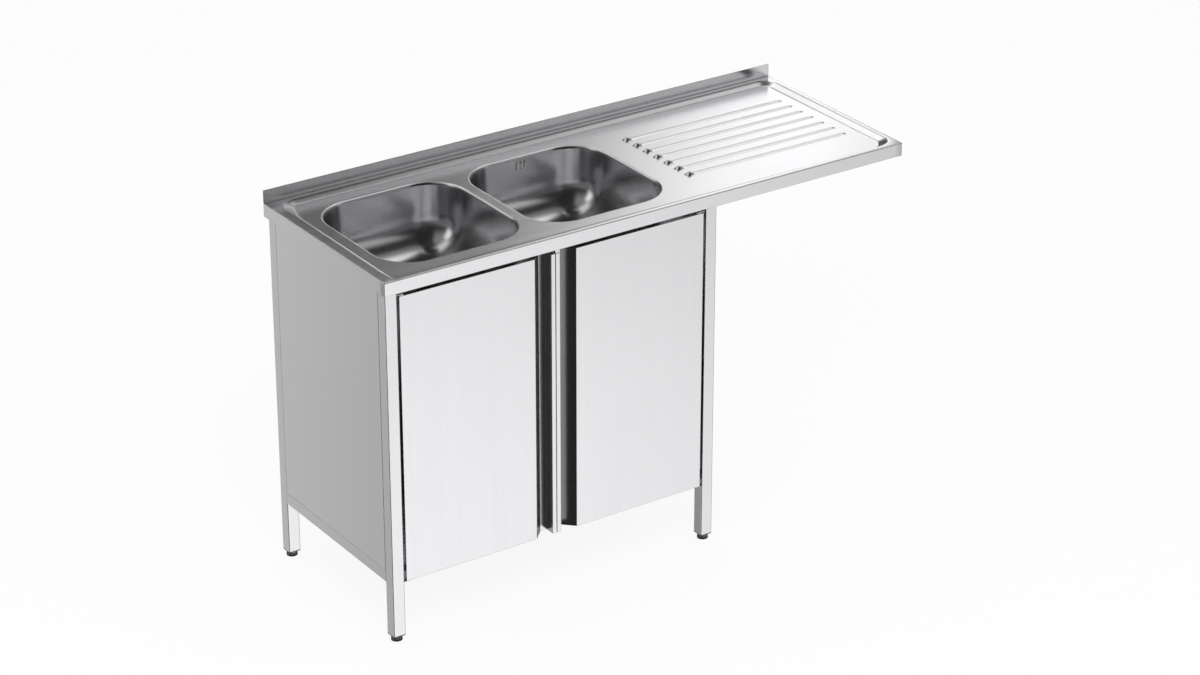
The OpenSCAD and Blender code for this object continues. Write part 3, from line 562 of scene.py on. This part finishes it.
def deck(build, s):
    """The flat rim, the recess and the deck, up to the bends at the edges."""
    x0, x1 = TOP_LOW.x + s.edge_bend, TOP_HIGH.x - s.edge_bend
    y0, y1 = TOP_LOW.y + s.edge_bend, TOP_HIGH.y - s.sheet - s.splash_bend
    xs = np.linspace(x0, x1, LONG_POINTS)
    ys = np.linspace(y0, y1, SHORT_POINTS)
    low = (TOP_LOW.x + s.rim_left, TOP_LOW.y + s.rim)
    high = (TOP_HIGH.x - s.rim, TOP_HIGH.y - s.rim_back)
    edge = [(x, y0) for x in xs] + [(x1, y) for y in ys[1:]]
    edge += [(x, y1) for x in xs[-2::-1]] + [(x0, y) for y in ys[-2:0:-1]]
    half = s.press / 2
    bend = (-half, -half / 2, 0.0, half / 2, half)
    rows = [-half - GUARD, *bend, s.slope / 2, *(s.slope + row for row in bend)]
    rows.append(s.slope + half + FLOOR_GUARD)
    loops = [edge]
    for row in rows:
        loops.append(rounded_loop(low, high, s.recess_corner, row, RECESS_TURN))
    cuts = [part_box(name) for name in BOWLS]
    for a, b in cuts:
        loops.append(rounded_loop(a, b, s.cut_corner, 0.0, BOWL_TURN))
    points, edges = [], []
    for loop in loops:
        first = len(points)
        points += [Vector(p) for p in loop]
        edges += [(first + i, first + (i + 1) % len(loop)) for i in range(len(loop))]
    for x in np.arange(x0 + GRID_START, x1 - GRID_END, GRID):
        for y in np.arange(y0 + GRID_START, y1 - GRID_END, GRID):
            gap = max(depth_inside(x, y, a, b, s.cut_corner) for a, b in cuts)
            inside = depth_inside(x, y, low, high, s.recess_corner)
            if gap < -CUT_CLEAR and inside > SLOPE_CLEAR:
                points.append(Vector((x, y)))
    flat, _, faces, _, _, _ = delaunay_2d_cdt(points, edges, [], 0, TOUCH)
    top = SPLASH_LOW.z
    made = []
    for p in flat:
        t = depth_inside(p.x, p.y, low, high, s.recess_corner)
        z = top - s.recess * pressed(t, s.slope, s.press)
        left = steepness(high[1] - p.y, s, LEFT_FADE)
        front = steepness(high[0] - p.x, s, FRONT_FADE)
        x, y = nearer(p.x, low[0], left, s), nearer(p.y, low[1], front, s)
        made.append(build.verts.new((x, y, z)))
    for face in faces:
        cx = sum(flat[i].x for i in face) / len(face)
        cy = sum(flat[i].y for i in face) / len(face)
        if max(depth_inside(cx, cy, a, b, s.cut_corner) for a, b in cuts) < 0:
            build.faces.new([made[i] for i in face])
    return xs, ys, top


def strip(build, rows):
    """Faces between rows of points; the first row lies left of the second."""
    made = [[build.verts.new(p) for p in row] for row in rows]
    for a, b in zip(made, made[1:]):
        for i in range(len(a) - 1):
            build.faces.new((a[i], b[i], b[i + 1], a[i + 1]))


# Parts of the bends along the edges, and of the two front corners
BEND_PARTS = 7
CORNER_PARTS = 6
# Height of the lowest row of the folded edge, which keeps its foot crisp
HEM = 1 * MM


def skirt(build, s, xs, ys, top):
    """The bend round the front and sides, and the folded edge below it."""
    r, foot = s.edge_bend, TOP_LOW.z
    path = [(TOP_LOW.x, TOP_HIGH.y, -1.0, 0.0)]
    path += [(TOP_LOW.x, y, -1.0, 0.0) for y in ys[::-1]]
    for x, start in ((TOP_LOW.x + r, math.pi), (TOP_HIGH.x - r, 1.5 * math.pi)):
        for turn in quarter_turn(CORNER_PARTS)[1:]:
            a = start + turn
            path.append((x + r * math.cos(a), TOP_LOW.y + r + r * math.sin(a),
                         math.cos(a), math.sin(a)))
        if x < 0:
            path += [(x, TOP_LOW.y, 0.0, -1.0) for x in xs[1:]]
    path += [(TOP_HIGH.x, y, 1.0, 0.0) for y in ys[1:]]
    path.append((TOP_HIGH.x, TOP_HIGH.y, 1.0, 0.0))
    rows = []
    for a in quarter_turn(BEND_PARTS):
        inset, drop = r * (1 - math.sin(a)), r * (1 - math.cos(a))
        rows.append([(x - nx * inset, y - ny * inset, top - drop)
                     for x, y, nx, ny in path])
    for z in (top - r - GUARD, foot + HEM, foot):
        rows.append([(x, y, z) for x, y, _, _ in path])
    strip(build, rows)


def splash(build, s, xs, top):
    """The bend at the back and the upstand."""
    xs = [TOP_LOW.x, *xs, TOP_HIGH.x]
    r, face = s.splash_bend, SPLASH_LOW.y
    rows = []
    for a in quarter_turn(BEND_PARTS):
        y, z = face - r + r * math.sin(a), top + r * (1 - math.cos(a))
        rows.append([(x, y, z) for x in xs])
    for z in (top + r + GUARD, SPLASH_HIGH.z):
        rows.append([(x, face, z) for x in xs])
    strip(build, [row[::-1] for row in rows])


def block(build, low, high):
    """A box between two corners."""
    made = bmesh.ops.create_cube(build, size=1.0)["verts"]
    size = Vector(high) - Vector(low)
    middle = (Vector(high) + Vector(low)) / 2
    for v in made:
        v.co = Vector([v.co[i] * size[i] + middle[i] for i in range(3)])


# The fold under an edge: its reach into the edge's sheet as a share, how far it stays
# above the foot, how far the side's laps the front's, and how far it stays off the back
FOLD_BITE = 0.02
FOLD_LIFT = 0.02 * MM
FOLD_LAP = 0.1 * MM
FOLD_END = 1 * MM


class SINKCAB_OT_worktop(Operator):
    """Make the pressed worktop with its bends, recess, cut-outs and upstand"""

    bl_idname = "sinkcab.worktop"
    bl_label = "Worktop"

    def execute(self, context):
        s = context.scene.sinkcab_worktop
        build = bmesh.new()
        xs, ys, top = deck(build, s)
        skirt(build, s, xs, ys, top)
        splash(build, s, xs, top)
        bmesh.ops.remove_doubles(build, verts=build.verts, dist=WELD)
        bmesh.ops.dissolve_degenerate(build, dist=SLIVER, edges=build.edges)
        material = bpy.data.materials["worktop_steel"]
        piece = add_mesh("worktop_pressed", build, material)
        soften(piece.data, degrees=50.0)
        thicken(piece, s.sheet)
        settle(piece)
        soften(piece.data, degrees=40.0)
        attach(piece, BODY)
        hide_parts("worktop", "upstand")

        folds = bmesh.new()
        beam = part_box("drainer_front_beam")[0].x
        low, high = TOP_LOW.z + FOLD_LIFT, TOP_LOW.z + s.sheet
        inner = s.sheet * (1 - FOLD_BITE)
        side = TOP_HIGH.x - inner
        block(folds, (beam + s.fold, TOP_LOW.y + inner, low),
              (side, TOP_LOW.y + s.fold, high))
        block(folds, (TOP_HIGH.x - s.fold, TOP_LOW.y + s.fold - FOLD_LAP, low),
              (side, TOP_HIGH.y - FOLD_END, high))
        under = add_mesh("worktop_folds", folds, material)
        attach(under, BODY)
        return {"FINISHED"}


# Parts of a bowl's profile: the lip, the wall, the turn into the floor and the floor
LIP_PARTS = 12
WALL_PARTS = 8
TURN_PARTS = 24
FLOOR_PARTS = 12
# The lip's flat brim, and how far rings lie inside the seat's edge and outside the hole
BRIM = 0.6 * MM
SEAT_RINGS = (4 * MM, 8 * MM)
HOLE_RING = 2 * MM


def bowl_rows(s, low, high):
    """Loops of points from the deck down to the hole of the waste."""
    deck_z, floor_z = high.z, low.z + s.sheet
    foot = floor_z + s.sink
    rows = [(0.0, deck_z), (BRIM, deck_z)]
    for a in quarter_turn(LIP_PARTS)[1:]:
        inset = BRIM + (s.lip - BRIM) * math.sin(a)
        rows.append((inset, deck_z - s.lip * (1 - math.cos(a))))
    wall, top = foot + s.turn, deck_z - s.lip
    for k in range(WALL_PARTS):
        rows.append((s.lip, top + (wall - top) * (k + 1) / WALL_PARTS))
    for a in quarter_turn(TURN_PARTS)[1:]:
        inset = s.lip + s.turn * (1 - math.cos(a))
        rows.append((inset, wall - s.turn * math.sin(a)))
    loops = []
    for inset, z in rows:
        loop = rounded_loop(low, high, s.corner + s.lip, inset, BOWL_TURN)
        loops.append([(x, y, z) for x, y in loop])
    cx, cy = (low.x + high.x) / 2, (low.y + high.y) / 2
    last = loops[-1]
    turns = [math.atan2(y - cy, x - cx) for x, y, _ in last]
    for k in range(FLOOR_PARTS):
        share = (k + 1) / FLOOR_PARTS
        ease = share * share * (3 - 2 * share)
        drop = foot - s.sink * ease
        loops.append([
            (x + (cx + s.seat * math.cos(a) - x) * share,
             y + (cy + s.seat * math.sin(a) - y) * share, drop)
            for (x, y, _), a in zip(last, turns)
        ])
    rings = [s.seat - ring for ring in SEAT_RINGS]
    for r in (*rings, s.hole + HOLE_RING, s.hole):
        loops.append([(cx + r * math.cos(a), cy + r * math.sin(a), floor_z)
                      for a in turns])
    return loops


def pressed_bowl(name, node, s, material):
    """A bowl with its thickness still to be applied."""
    low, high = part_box(node)
    loops = bowl_rows(s, low, high)
    build = bmesh.new()
    made = [[build.verts.new(p) for p in loop] for loop in loops]
    for a, b in zip(made, made[1:]):
        for i in range(len(a)):
            j = (i + 1) % len(a)
            build.faces.new((a[i], a[j], b[j], b[i]))
    bmesh.ops.remove_doubles(build, verts=build.verts, dist=WELD)
    piece = add_mesh(name, build, material)
    soften(piece.data, degrees=60.0)
    thicken(piece, s.sheet)
    return piece


# The slots' places in pitches from the middle, points round a slot, and how far its
# cutter reaches before and behind the wall's inner face
SLOT_PLACES = (-1, 0, 1)
SLOT_POINTS = 24
SLOT_BEFORE = 3 * MM
SLOT_BEHIND = 4 * MM


def slot_cutter(s, node):
    """The solids of the upright overflow slots, reaching through the back wall."""
    low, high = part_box(node)
    y = high.y - s.lip
    z1 = high.z - s.slot_drop
    z0 = z1 - s.slot_height
    r, x = s.slot_width / 2, (low.x + high.x) / 2
    build = bmesh.new()
    for step in SLOT_PLACES:
        ring = []
        for k in range(SLOT_POINTS):
            a = math.tau * k / SLOT_POINTS
            zc = z1 - r if math.sin(a) >= 0 else z0 + r
            ring.append((x + step * s.slot_pitch + r * math.cos(a), zc + r * math.sin(a)))
        front = [build.verts.new((u, y - SLOT_BEFORE, v)) for u, v in ring]
        back = [build.verts.new((u, y + SLOT_BEHIND, v)) for u, v in ring]
        build.faces.new(front)
        build.faces.new(back[::-1])
        for i in range(SLOT_POINTS):
            j = (i + 1) % SLOT_POINTS
            build.faces.new((front[j], front[i], back[i], back[j]))
    bmesh.ops.recalc_face_normals(build, faces=build.faces)
    return add_mesh("slot_cutter", build, bpy.data.materials["bowl_steel"])


class SINKCAB_OT_bowls(Operator):
    """Press the two bowls and cut the overflow slots in the right one"""

    bl_idname = "sinkcab.bowls"
    bl_label = "Bowls"

    def execute(self, context):
        s = context.scene.sinkcab_bowls
        material = bpy.data.materials["bowl_steel"]
        for node in BOWLS:
            piece = pressed_bowl(node + "_pressed", node, s, material)
            cutter = None
            if node == "right_bowl":
                cutter = slot_cutter(s, node)
                cut = piece.modifiers.new("Slots", "BOOLEAN")
                cut.operation = "DIFFERENCE"
                cut.solver = "EXACT"
                cut.object = cutter
            settle(piece)
            if cutter:
                bpy.data.objects.remove(cutter)
            soften(piece.data, degrees=40.0)
            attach(piece, BODY)
            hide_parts(node)
        return {"FINISHED"}


class Nodes(Graph):
    """A geometry node tree with named inputs; the modifier gives their values."""

    def __init__(self, name, inputs, material):
        tree = bpy.data.node_groups.new(name, "GeometryNodeTree")
        super().__init__(tree)
        tree.is_modifier = True
        face = tree.interface
        for label, kind in inputs.items():
            face.new_socket(name=label, in_out="INPUT", socket_type=kind)
        kind = "NodeSocketMaterial"
        socket = face.new_socket(name="Material", in_out="INPUT", socket_type=kind)
        socket.default_value = material
        face.new_socket(name="Mesh", in_out="OUTPUT", socket_type="NodeSocketGeometry")
        self.inputs = tree.nodes.new("NodeGroupInput")

    def input(self, label):
        return Signal(self, self.inputs.outputs[label])

    def end(self, geometry):
        real = self.signal("GeometryNodeRealizeInstances", values={0: geometry})
        done = self.signal("GeometryNodeSetMaterial", values={
            "Geometry": real, "Material": self.input("Material"),
        })
        self.node("NodeGroupOutput", values={0: done})


def grown(name, start, nodes, values, material):
    """A plain mesh object that a geometry node tree makes from a start object."""
    modifier = start.modifiers.new("Shape", "NODES")
    modifier.node_group = nodes.tree
    for item in nodes.tree.interface.items_tree:
        if item.in_out == "INPUT" and item.name in values:
            modifier[item.identifier] = values[item.name]
    graph = bpy.context.evaluated_depsgraph_get()
    graph.update()
    mesh = bpy.data.meshes.new_from_object(
        start.evaluated_get(graph), preserve_all_data_layers=True, depsgraph=graph
    )
    if not mesh.polygons:
        raise RuntimeError(f"{name}: its nodes made no faces")
    start.modifiers.clear()
    made = bpy.data.objects.new(name, mesh)
    mesh.name = name
    bpy.context.scene.collection.objects.link(made)
    bpy.data.objects.remove(start)
    if not mesh.materials:
        mesh.materials.append(material)
    return made


SIZE = "NodeSocketFloat"
# Points along and across one rib, and how far its border lies under the deck
RIB_LONG = 221
RIB_ACROSS = 29
RIB_SINK = 0.04 * MM


def rib_nodes(material):
    """A row of one rib: a ridge with round ends that fades into the deck, and a knob."""
    g = Nodes("Drainer ribs", {
        "Geometry": "NodeSocketGeometry", "Ribs": "NodeSocketInt", "Pitch": SIZE,
        "Length": SIZE, "Half width": SIZE, "Height": SIZE, "Far height": SIZE,
        "Knob radius": SIZE, "Knob height": SIZE, "Start": "NodeSocketVector",
    }, material)
    length, wide = g.input("Length"), g.input("Half width")
    knob = g.input("Knob radius")
    whole = length + knob * 2.0 + wide
    grid = g.signal("GeometryNodeMeshGrid", values={
        "Size X": whole, "Size Y": knob * 2.0,
        "Vertices X": RIB_LONG, "Vertices Y": RIB_ACROSS,
    })
    x, y, _ = g.split(g.signal("GeometryNodeInputPosition"))
    u = x + whole * 0.5 - knob
    past = (u - length).most(0.0) + (-u).most(0.0)
    across = ((past * past + y * y).root() / wide).least(1.0)
    round_off = 1.0 - across * across
    fall = (u / length).clamp()
    crest = g.input("Height") * (1.0 - fall) + g.input("Far height") * fall
    ridge = crest * round_off * round_off
    reach = ((u * u + y * y).root() / knob).least(1.0)
    dome = 1.0 - reach * reach
    bulb = g.input("Knob height") * dome * dome
    z = ridge.most(bulb) - RIB_SINK
    place = g.node("ShaderNodeCombineXYZ", values={0: u, 1: y, 2: z})
    shaped = g.signal("GeometryNodeSetPosition",
                      values={"Geometry": grid, "Position": place.outputs[0]})
    smooth = g.signal("GeometryNodeSetShadeSmooth", values={0: shaped})
    step = g.node("ShaderNodeCombineXYZ", values={1: g.input("Pitch")})
    line = g.signal("GeometryNodeMeshLine", {"mode": "OFFSET"}, {
        "Count": g.input("Ribs"), "Start Location": g.input("Start"),
        "Offset": step.outputs[0],
    })
    copies = g.signal("GeometryNodeInstanceOnPoints",
                      values={"Points": line, "Instance": smooth})
    g.end(copies)
    return g


class SINKCAB_OT_drainer_ribs(Operator):
    """Press the drainer's ribs with their knobs"""

    bl_idname = "sinkcab.drainer_ribs"
    bl_label = "Drainer ribs"

    def execute(self, context):
        s, top = context.scene.sinkcab_drainer, context.scene.sinkcab_worktop
        material = bpy.data.materials["rib_steel"]
        nodes = rib_nodes(material)
        empty = bpy.data.objects.new("rib_start", bpy.data.meshes.new("rib_start"))
        context.scene.collection.objects.link(empty)
        middle = (TOP_LOW.y + top.rim + TOP_HIGH.y - top.rim_back) / 2
        start = (TOP_HIGH.x - s.margin - s.length, middle - s.pitch * (s.count - 1) / 2,
                 SPLASH_LOW.z - top.recess)
        ribs = grown("drainer_ribs", empty, nodes, {
            "Ribs": s.count, "Pitch": s.pitch, "Length": s.length,
            "Half width": s.half_width, "Height": s.height, "Far height": s.far_height,
            "Knob radius": s.knob_radius, "Knob height": s.knob_height, "Start": start,
        }, material)
        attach(ribs, BODY)
        return {"FINISHED"}


# Rings along one corrugation, points round a ring and parts of the hose's bend
HOSE_RINGS = 8.0
HOSE_ROUND = 24
HOSE_BEND_PARTS = 12


def hose_nodes(material):
    """A corrugated tube along a curve."""
    g = Nodes("Corrugated hose", {
        "Curve": "NodeSocketGeometry", "Radius": SIZE, "Depth": SIZE, "Pitch": SIZE,
    }, material)
    line = g.signal("GeometryNodeResampleCurve", {"mode": "LENGTH"}, {
        "Curve": g.input("Curve"), "Length": g.input("Pitch") / HOSE_RINGS,
    })
    run = g.node("GeometryNodeSplineParameter")
    wave = (Signal(g, run.outputs["Length"]) / g.input("Pitch") * math.tau).maths("COSINE")
    radius = g.input("Radius") - (0.5 - wave * 0.5) * g.input("Depth")
    ring = g.signal("GeometryNodeCurvePrimitiveCircle",
                    values={"Resolution": HOSE_ROUND, "Radius": 1.0})
    tube = g.signal("GeometryNodeCurveToMesh", values={
        "Curve": line, "Profile Curve": ring, "Fill Caps": True, "Scale": radius,
    })
    smooth = g.signal("GeometryNodeSetShadeSmooth", values={0: tube})
    g.end(smooth)
    return g


class SINKCAB_OT_overflow_hose(Operator):
    """Run the corrugated hose from the overflow to the right waste"""

    bl_idname = "sinkcab.overflow_hose"
    bl_label = "Overflow hose"

    def execute(self, context):
        s = context.scene.sinkcab_hose
        low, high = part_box("overflow_hose")
        radius = (high.x - low.x) / 2
        x = (high.x + low.x) / 2
        y, z = high.y - radius, low.z + radius
        points = [(x, y, high.z)]
        for a in quarter_turn(HOSE_BEND_PARTS):
            points.append((x, y - s.bend + s.bend * math.cos(a),
                           z + s.bend - s.bend * math.sin(a)))
        points.append((x, low.y, z))
        curve = bpy.data.curves.new("hose_line", "CURVE")
        curve.dimensions = "3D"
        spline = curve.splines.new("POLY")
        spline.points.add(len(points) - 1)
        for point, place in zip(spline.points, points):
            point.co = (*place, 1.0)
        line = bpy.data.objects.new("hose_line", curve)
        context.scene.collection.objects.link(line)
        material = bpy.data.materials["hose_rubber"]
        hose = grown("overflow_hose_corrugated", line, hose_nodes(material), {
            "Radius": radius, "Depth": s.depth, "Pitch": s.pitch,
        }, material)
        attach(hose, BODY)
        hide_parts("overflow_hose")
        return {"FINISHED"}


SHEETS_UP = (
    "left_panel", "right_panel", "back_panel",
    "left_door_skin", "left_door_liner", "right_door_skin", "right_door_liner",
    "centre_catch",
)
SHEETS_FLAT = ("worktop", "upstand", "bottom_shelf")
TUBES_UP = (
    "front_left_leg", "front_right_leg", "back_left_leg", "back_right_leg",
    "left_top_hinge", "left_bottom_hinge", "right_top_hinge", "right_bottom_hinge",
)
TUBES_X = (
    "drainer_front_beam", "drainer_back_beam", "front_top_rail", "back_top_rail",
    "back_bottom_rail",
)
TUBES_Y = (
    "drainer_end_beam", "drainer_cross_beam", "left_top_rail", "right_top_rail",
    "left_bottom_rail", "right_bottom_rail",
)


# How much less rough than the doors the worktop and the bowls are, and the ribs
TOP_GLOSS = 0.02
RIB_GLOSS = 0.09


class SINKCAB_OT_steel(Operator):
    """Give the sheet, tube and polished steel its finishes"""

    bl_idname = "sinkcab.steel"
    bl_label = "Steel finishes"

    def execute(self, context):
        s = context.scene.sinkcab_finishes
        sheet, tube, rough, edge = tuple(s.steel), tuple(s.tube), s.gloss, s.edge
        top = rough - TOP_GLOSS
        dress(SHEETS_FLAT, satin_steel("worktop_steel", sheet, top, edge, "X"))
        satin_steel("rib_steel", sheet, rough - RIB_GLOSS, edge, "X")
        dress(SHEETS_UP, satin_steel("door_steel", sheet, rough, edge, "Z"))
        dress(BOWLS, satin_steel("bowl_steel", sheet, top, edge, "X"))
        dress(TUBES_UP, satin_steel("tube_steel_up", tube, rough, edge, "Z"))
        dress(TUBES_X, satin_steel("tube_steel_across", tube, rough, edge, "X"))
        dress(TUBES_Y, satin_steel("tube_steel_deep", tube, rough, edge, "Y"))
        chrome = polished_steel("waste_chrome", colour=(0.86, 0.87, 0.89),
                                roughness=0.10, edge=0.6 * MM)
        dress(("left_waste", "right_waste", "left_plug", "right_plug"), chrome)
        strike = polished_steel("strike_steel", colour=(0.62, 0.62, 0.64),
                                roughness=0.30, edge=0.3 * MM)
        dress(("left_door_strike", "right_door_strike"), strike)
        return {"FINISHED"}


class SINKCAB_OT_plastics(Operator):
    """Give the drain, seals, inserts and feet their finishes"""

    bl_idname = "sinkcab.plastics"
    bl_label = "Plastic and rubber finishes"

    def execute(self, context):
        s = context.scene.sinkcab_finishes
        white = moulded("drain_plastic", colour=tuple(s.plastic), roughness=0.32,
                        edge=1.0 * MM, coat=0.15)
        dress(("left_drain_pipe", "right_drain_pipe", "drain_tee", "trap_head",
               "trap_cup", "outlet_pipe", "outlet_coupler", "left_waste_nut",
               "right_waste_nut", "overflow_shell"), white)
        bush = moulded("bush_plastic", colour=(0.72, 0.71, 0.66), roughness=0.42,
                       edge=0.3 * MM)
        dress(("left_door_bushes", "right_door_bushes"), bush)
        black = moulded("insert_plastic", colour=tuple(s.black), roughness=0.48,
                        edge=0.6 * MM, grain=1100.0)
        dress(("foot_inserts",), black)
        rubber = moulded("hose_rubber", colour=tuple(s.rubber), roughness=0.58,
                         edge=0.4 * MM, grain=1400.0)
        dress(("overflow_hose", "left_waste_gasket", "right_waste_gasket"), rubber)
        ferrite = moulded("magnet_ferrite", colour=(0.05, 0.05, 0.052), roughness=0.62,
                          edge=0.3 * MM, grain=1800.0)
        dress(("catch_magnets",), ferrite)
        foot = foot_finish("foot_finish", black=tuple(s.black), metal=(0.66, 0.66, 0.68),
                           edge=0.5 * MM, pad=5 * MM)
        dress(("front_left_foot", "front_right_foot", "back_left_foot",
               "back_right_foot"), foot)
        return {"FINISHED"}


class Area(NamedTuple):
    """A soft-edged area of the surroundings, in degrees; only reflections show it."""

    name: str
    azimuth: float
    elevation: float
    wide: float
    high: float
    soft: float
    level: float


DARK = 0.02
WHITE = 1.0
# What matt pieces get from the surroundings, and the metal outside the areas
MATT_TONE = 0.72
STUDIO_TONE = 0.22
# Each one lies over those before it; wide and high are half sizes
STUDIO_AREAS = (
    Area("pale floor in front", -65, -30, 20, 10, soft=30, level=1.5),
    Area("dark room at the front left", -150, -20, 45, 55, soft=30, level=DARK),
    Area("pale floor at the back left", 140, -20, 40, 20, soft=10, level=0.9),
    Area("shade on that floor", 130, -30, 10, 15, soft=15, level=0.15),
    Area("dark wall in front", -85, 30, 50, 40, soft=5, level=DARK),
    Area("window in that wall", -50, 20, 10, 10, soft=20, level=1.0),
    Area("tall screen behind the drainer", 65, 30, 15, 25, soft=5, level=1.7),
    Area("high light at the right", 25, 55, 30, 15, soft=30, level=1.1),
    Area("dark panel above the screen", 55, 55, 15, 10, soft=10, level=DARK),
    Area("dark cloth at the back", 90, 20, 35, 15, soft=5, level=0.05),
    Area("screen at the back left", 120, 35, 20, 10, soft=5, level=0.9),
    Area("high screen at the back left", 135, 60, 35, 15, soft=10, level=0.7),
    Area("small screen at the left", 175, 30, 10, 15, soft=5, level=1.0),
    Area("dark ceiling", -20, 85, 150, 15, soft=5, level=DARK),
)


def offset(x, y, azimuth):
    """Angle in degrees between a heading and an azimuth, which is from +X to +Y."""
    c, s = math.cos(math.radians(azimuth)), math.sin(math.radians(azimuth))
    angle = (y * c - x * s).maths("ARCTAN2", x * c + y * s)
    return angle.maths("ABSOLUTE") * math.degrees(1)


def within(distance, half, soft):
    """1 inside the half size and 0 outside it, with a soft border on its line."""
    return 1.0 - distance.step(half - soft / 2, half + soft / 2)


def toned(tone, share, level):
    """A tone that goes over to a level by a share."""
    return tone + share * (level - tone)


def surroundings():
    """White to the camera, with pale and dark areas for what the metal reflects."""
    world = bpy.data.worlds.new("studio")
    bpy.context.scene.world = world
    world.use_nodes = True
    world.node_tree.nodes.clear()
    g = Graph(world.node_tree)
    x, y, z = g.split(g.signal("ShaderNodeTexCoord", output="Generated"))
    height = z.maths("ARCSINE") * math.degrees(1)
    tone = STUDIO_TONE
    for area in STUDIO_AREAS:
        across = within(offset(x, y, area.azimuth), area.wide, area.soft)
        up = within((height - area.elevation).maths("ABSOLUTE"), area.high, area.soft)
        tone = toned(tone, across * up, area.level)
    seen = g.node("ShaderNodeLightPath")
    matt, camera, through = (
        Signal(g, seen.outputs[f"Is {kind} Ray"])
        for kind in ("Diffuse", "Camera", "Transmission")
    )
    tone = toned(tone, matt, MATT_TONE)
    tone = toned(tone, camera.most(through), WHITE)
    light = g.node("ShaderNodeBackground", values={"Color": (1, 1, 1, 1), "Strength": tone})
    g.node("ShaderNodeOutputWorld", values={"Surface": light.outputs[0]})


# How much of the floor the camera sees as plain white; the rest takes shadow
FLOOR_GLOW = 0.9
# Metres, except for the sensor's millimetres
FLOOR_REACH = 30.0
LAMP_SIZE = (3.0, 2.0)
LAMP_PLACE = Vector((-1.6, -2.4, 3.2))
LAMP_AIM = Vector((0.0, 0.0, 0.5))
SENSOR_WIDTH = 36.0
FARTHEST_SEEN = 100.0


def floor_finish(colour):
    """White to the camera, with a faint shadow."""
    made, g = finish("studio_floor")
    seen = g.node("ShaderNodeLightPath")
    glow = g.node("ShaderNodeEmission", values={"Color": (*colour, 1.0), "Strength": 1.0})
    matt = g.node("ShaderNodeBsdfDiffuse", values={"Color": (*colour, 1.0)})
    share = Signal(g, seen.outputs["Is Camera Ray"]) * FLOOR_GLOW
    sides = {0: share, 1: matt.outputs[0], 2: glow.outputs[0]}
    mix = g.node("ShaderNodeMixShader", values=sides)
    g.node("ShaderNodeOutputMaterial", values={"Surface": mix.outputs[0]})
    return made


class SINKCAB_OT_studio(Operator):
    """Set the floor, the lamp, the surroundings and the camera"""

    bl_idname = "sinkcab.studio"
    bl_label = "Studio"

    def execute(self, context):
        s = context.scene.sinkcab_studio
        build = bmesh.new()
        corners = [(x * FLOOR_REACH, y * FLOOR_REACH, 0.0)
                   for x, y in ((-1, -1), (1, -1), (1, 1), (-1, 1))]
        build.faces.new([build.verts.new(corner) for corner in corners])
        floor = add_mesh("studio_floor", build, floor_finish(tuple(s.floor)))
        floor.visible_glossy = False
        lamp = bpy.data.lights.new("soft_lamp", "AREA")
        lamp.shape = "RECTANGLE"
        lamp.size, lamp.size_y = LAMP_SIZE
        lamp.energy = s.lamp
        piece = bpy.data.objects.new("soft_lamp", lamp)
        piece.location = LAMP_PLACE
        aim = LAMP_AIM - LAMP_PLACE
        piece.rotation_euler = aim.to_track_quat("-Z", "Y").to_euler()
        piece.visible_glossy = False
        context.scene.collection.objects.link(piece)
        surroundings()

        camera = bpy.data.cameras.new("photo_camera")
        camera.sensor_fit = "HORIZONTAL"
        camera.sensor_width = SENSOR_WIDTH
        camera.lens = s.lens
        camera.clip_end = FARTHEST_SEEN
        piece = bpy.data.objects.new("photo_camera", camera)
        quarter = math.pi / 2
        turns = ((s.heading - quarter, "Z"), (quarter - s.tilt, "X"), (s.roll, "Z"))
        piece.matrix_world = Matrix.Translation(s.place)
        for angle, axis in turns:
            piece.matrix_world = piece.matrix_world @ Matrix.Rotation(angle, 4, axis)
        context.scene.collection.objects.link(piece)
        context.scene.camera = piece
        context.scene.view_settings.view_transform = "Standard"
        return {"FINISHED"}


OPERATORS = (
    SINKCAB_OT_steel,
    SINKCAB_OT_plastics,
    SINKCAB_OT_worktop,
    SINKCAB_OT_bowls,
    SINKCAB_OT_drainer_ribs,
    SINKCAB_OT_overflow_hose,
    SINKCAB_OT_studio,
)


class SINKCAB_PT_panel(Panel):
    """Lists the steps that dress the sink cabinet"""

    bl_idname = "SINKCAB_PT_panel"
    bl_label = "Sink cabinet"
    bl_space_type = "VIEW_3D"
    bl_region_type = "UI"
    bl_category = "Sink cabinet"

    def draw(self, context):
        for name in SETTINGS:
            box = self.layout.box()
            group = getattr(context.scene, name)
            for key in group.__annotations__:
                box.prop(group, key)
        for operator in OPERATORS:
            self.layout.operator(operator.bl_idname)


SETTINGS = {
    "sinkcab_worktop": WorktopSizes,
    "sinkcab_bowls": BowlSizes,
    "sinkcab_drainer": DrainerSizes,
    "sinkcab_hose": HoseSizes,
    "sinkcab_finishes": Finishes,
    "sinkcab_studio": Studio,
}
CLASSES = (*SETTINGS.values(), *OPERATORS, SINKCAB_PT_panel)


def register():
    for cls in CLASSES:
        bpy.utils.register_class(cls)
    for name, group in SETTINGS.items():
        setattr(bpy.types.Scene, name, PointerProperty(type=group))


def unregister():
    for name in SETTINGS:
        delattr(bpy.types.Scene, name)
    for cls in reversed(CLASSES):
        bpy.utils.unregister_class(cls)


def main():
    register()
    for operator in OPERATORS:
        group, name = operator.bl_idname.split(".")
        getattr(getattr(bpy.ops, group), name)()


if __name__ == "__main__":
    main()
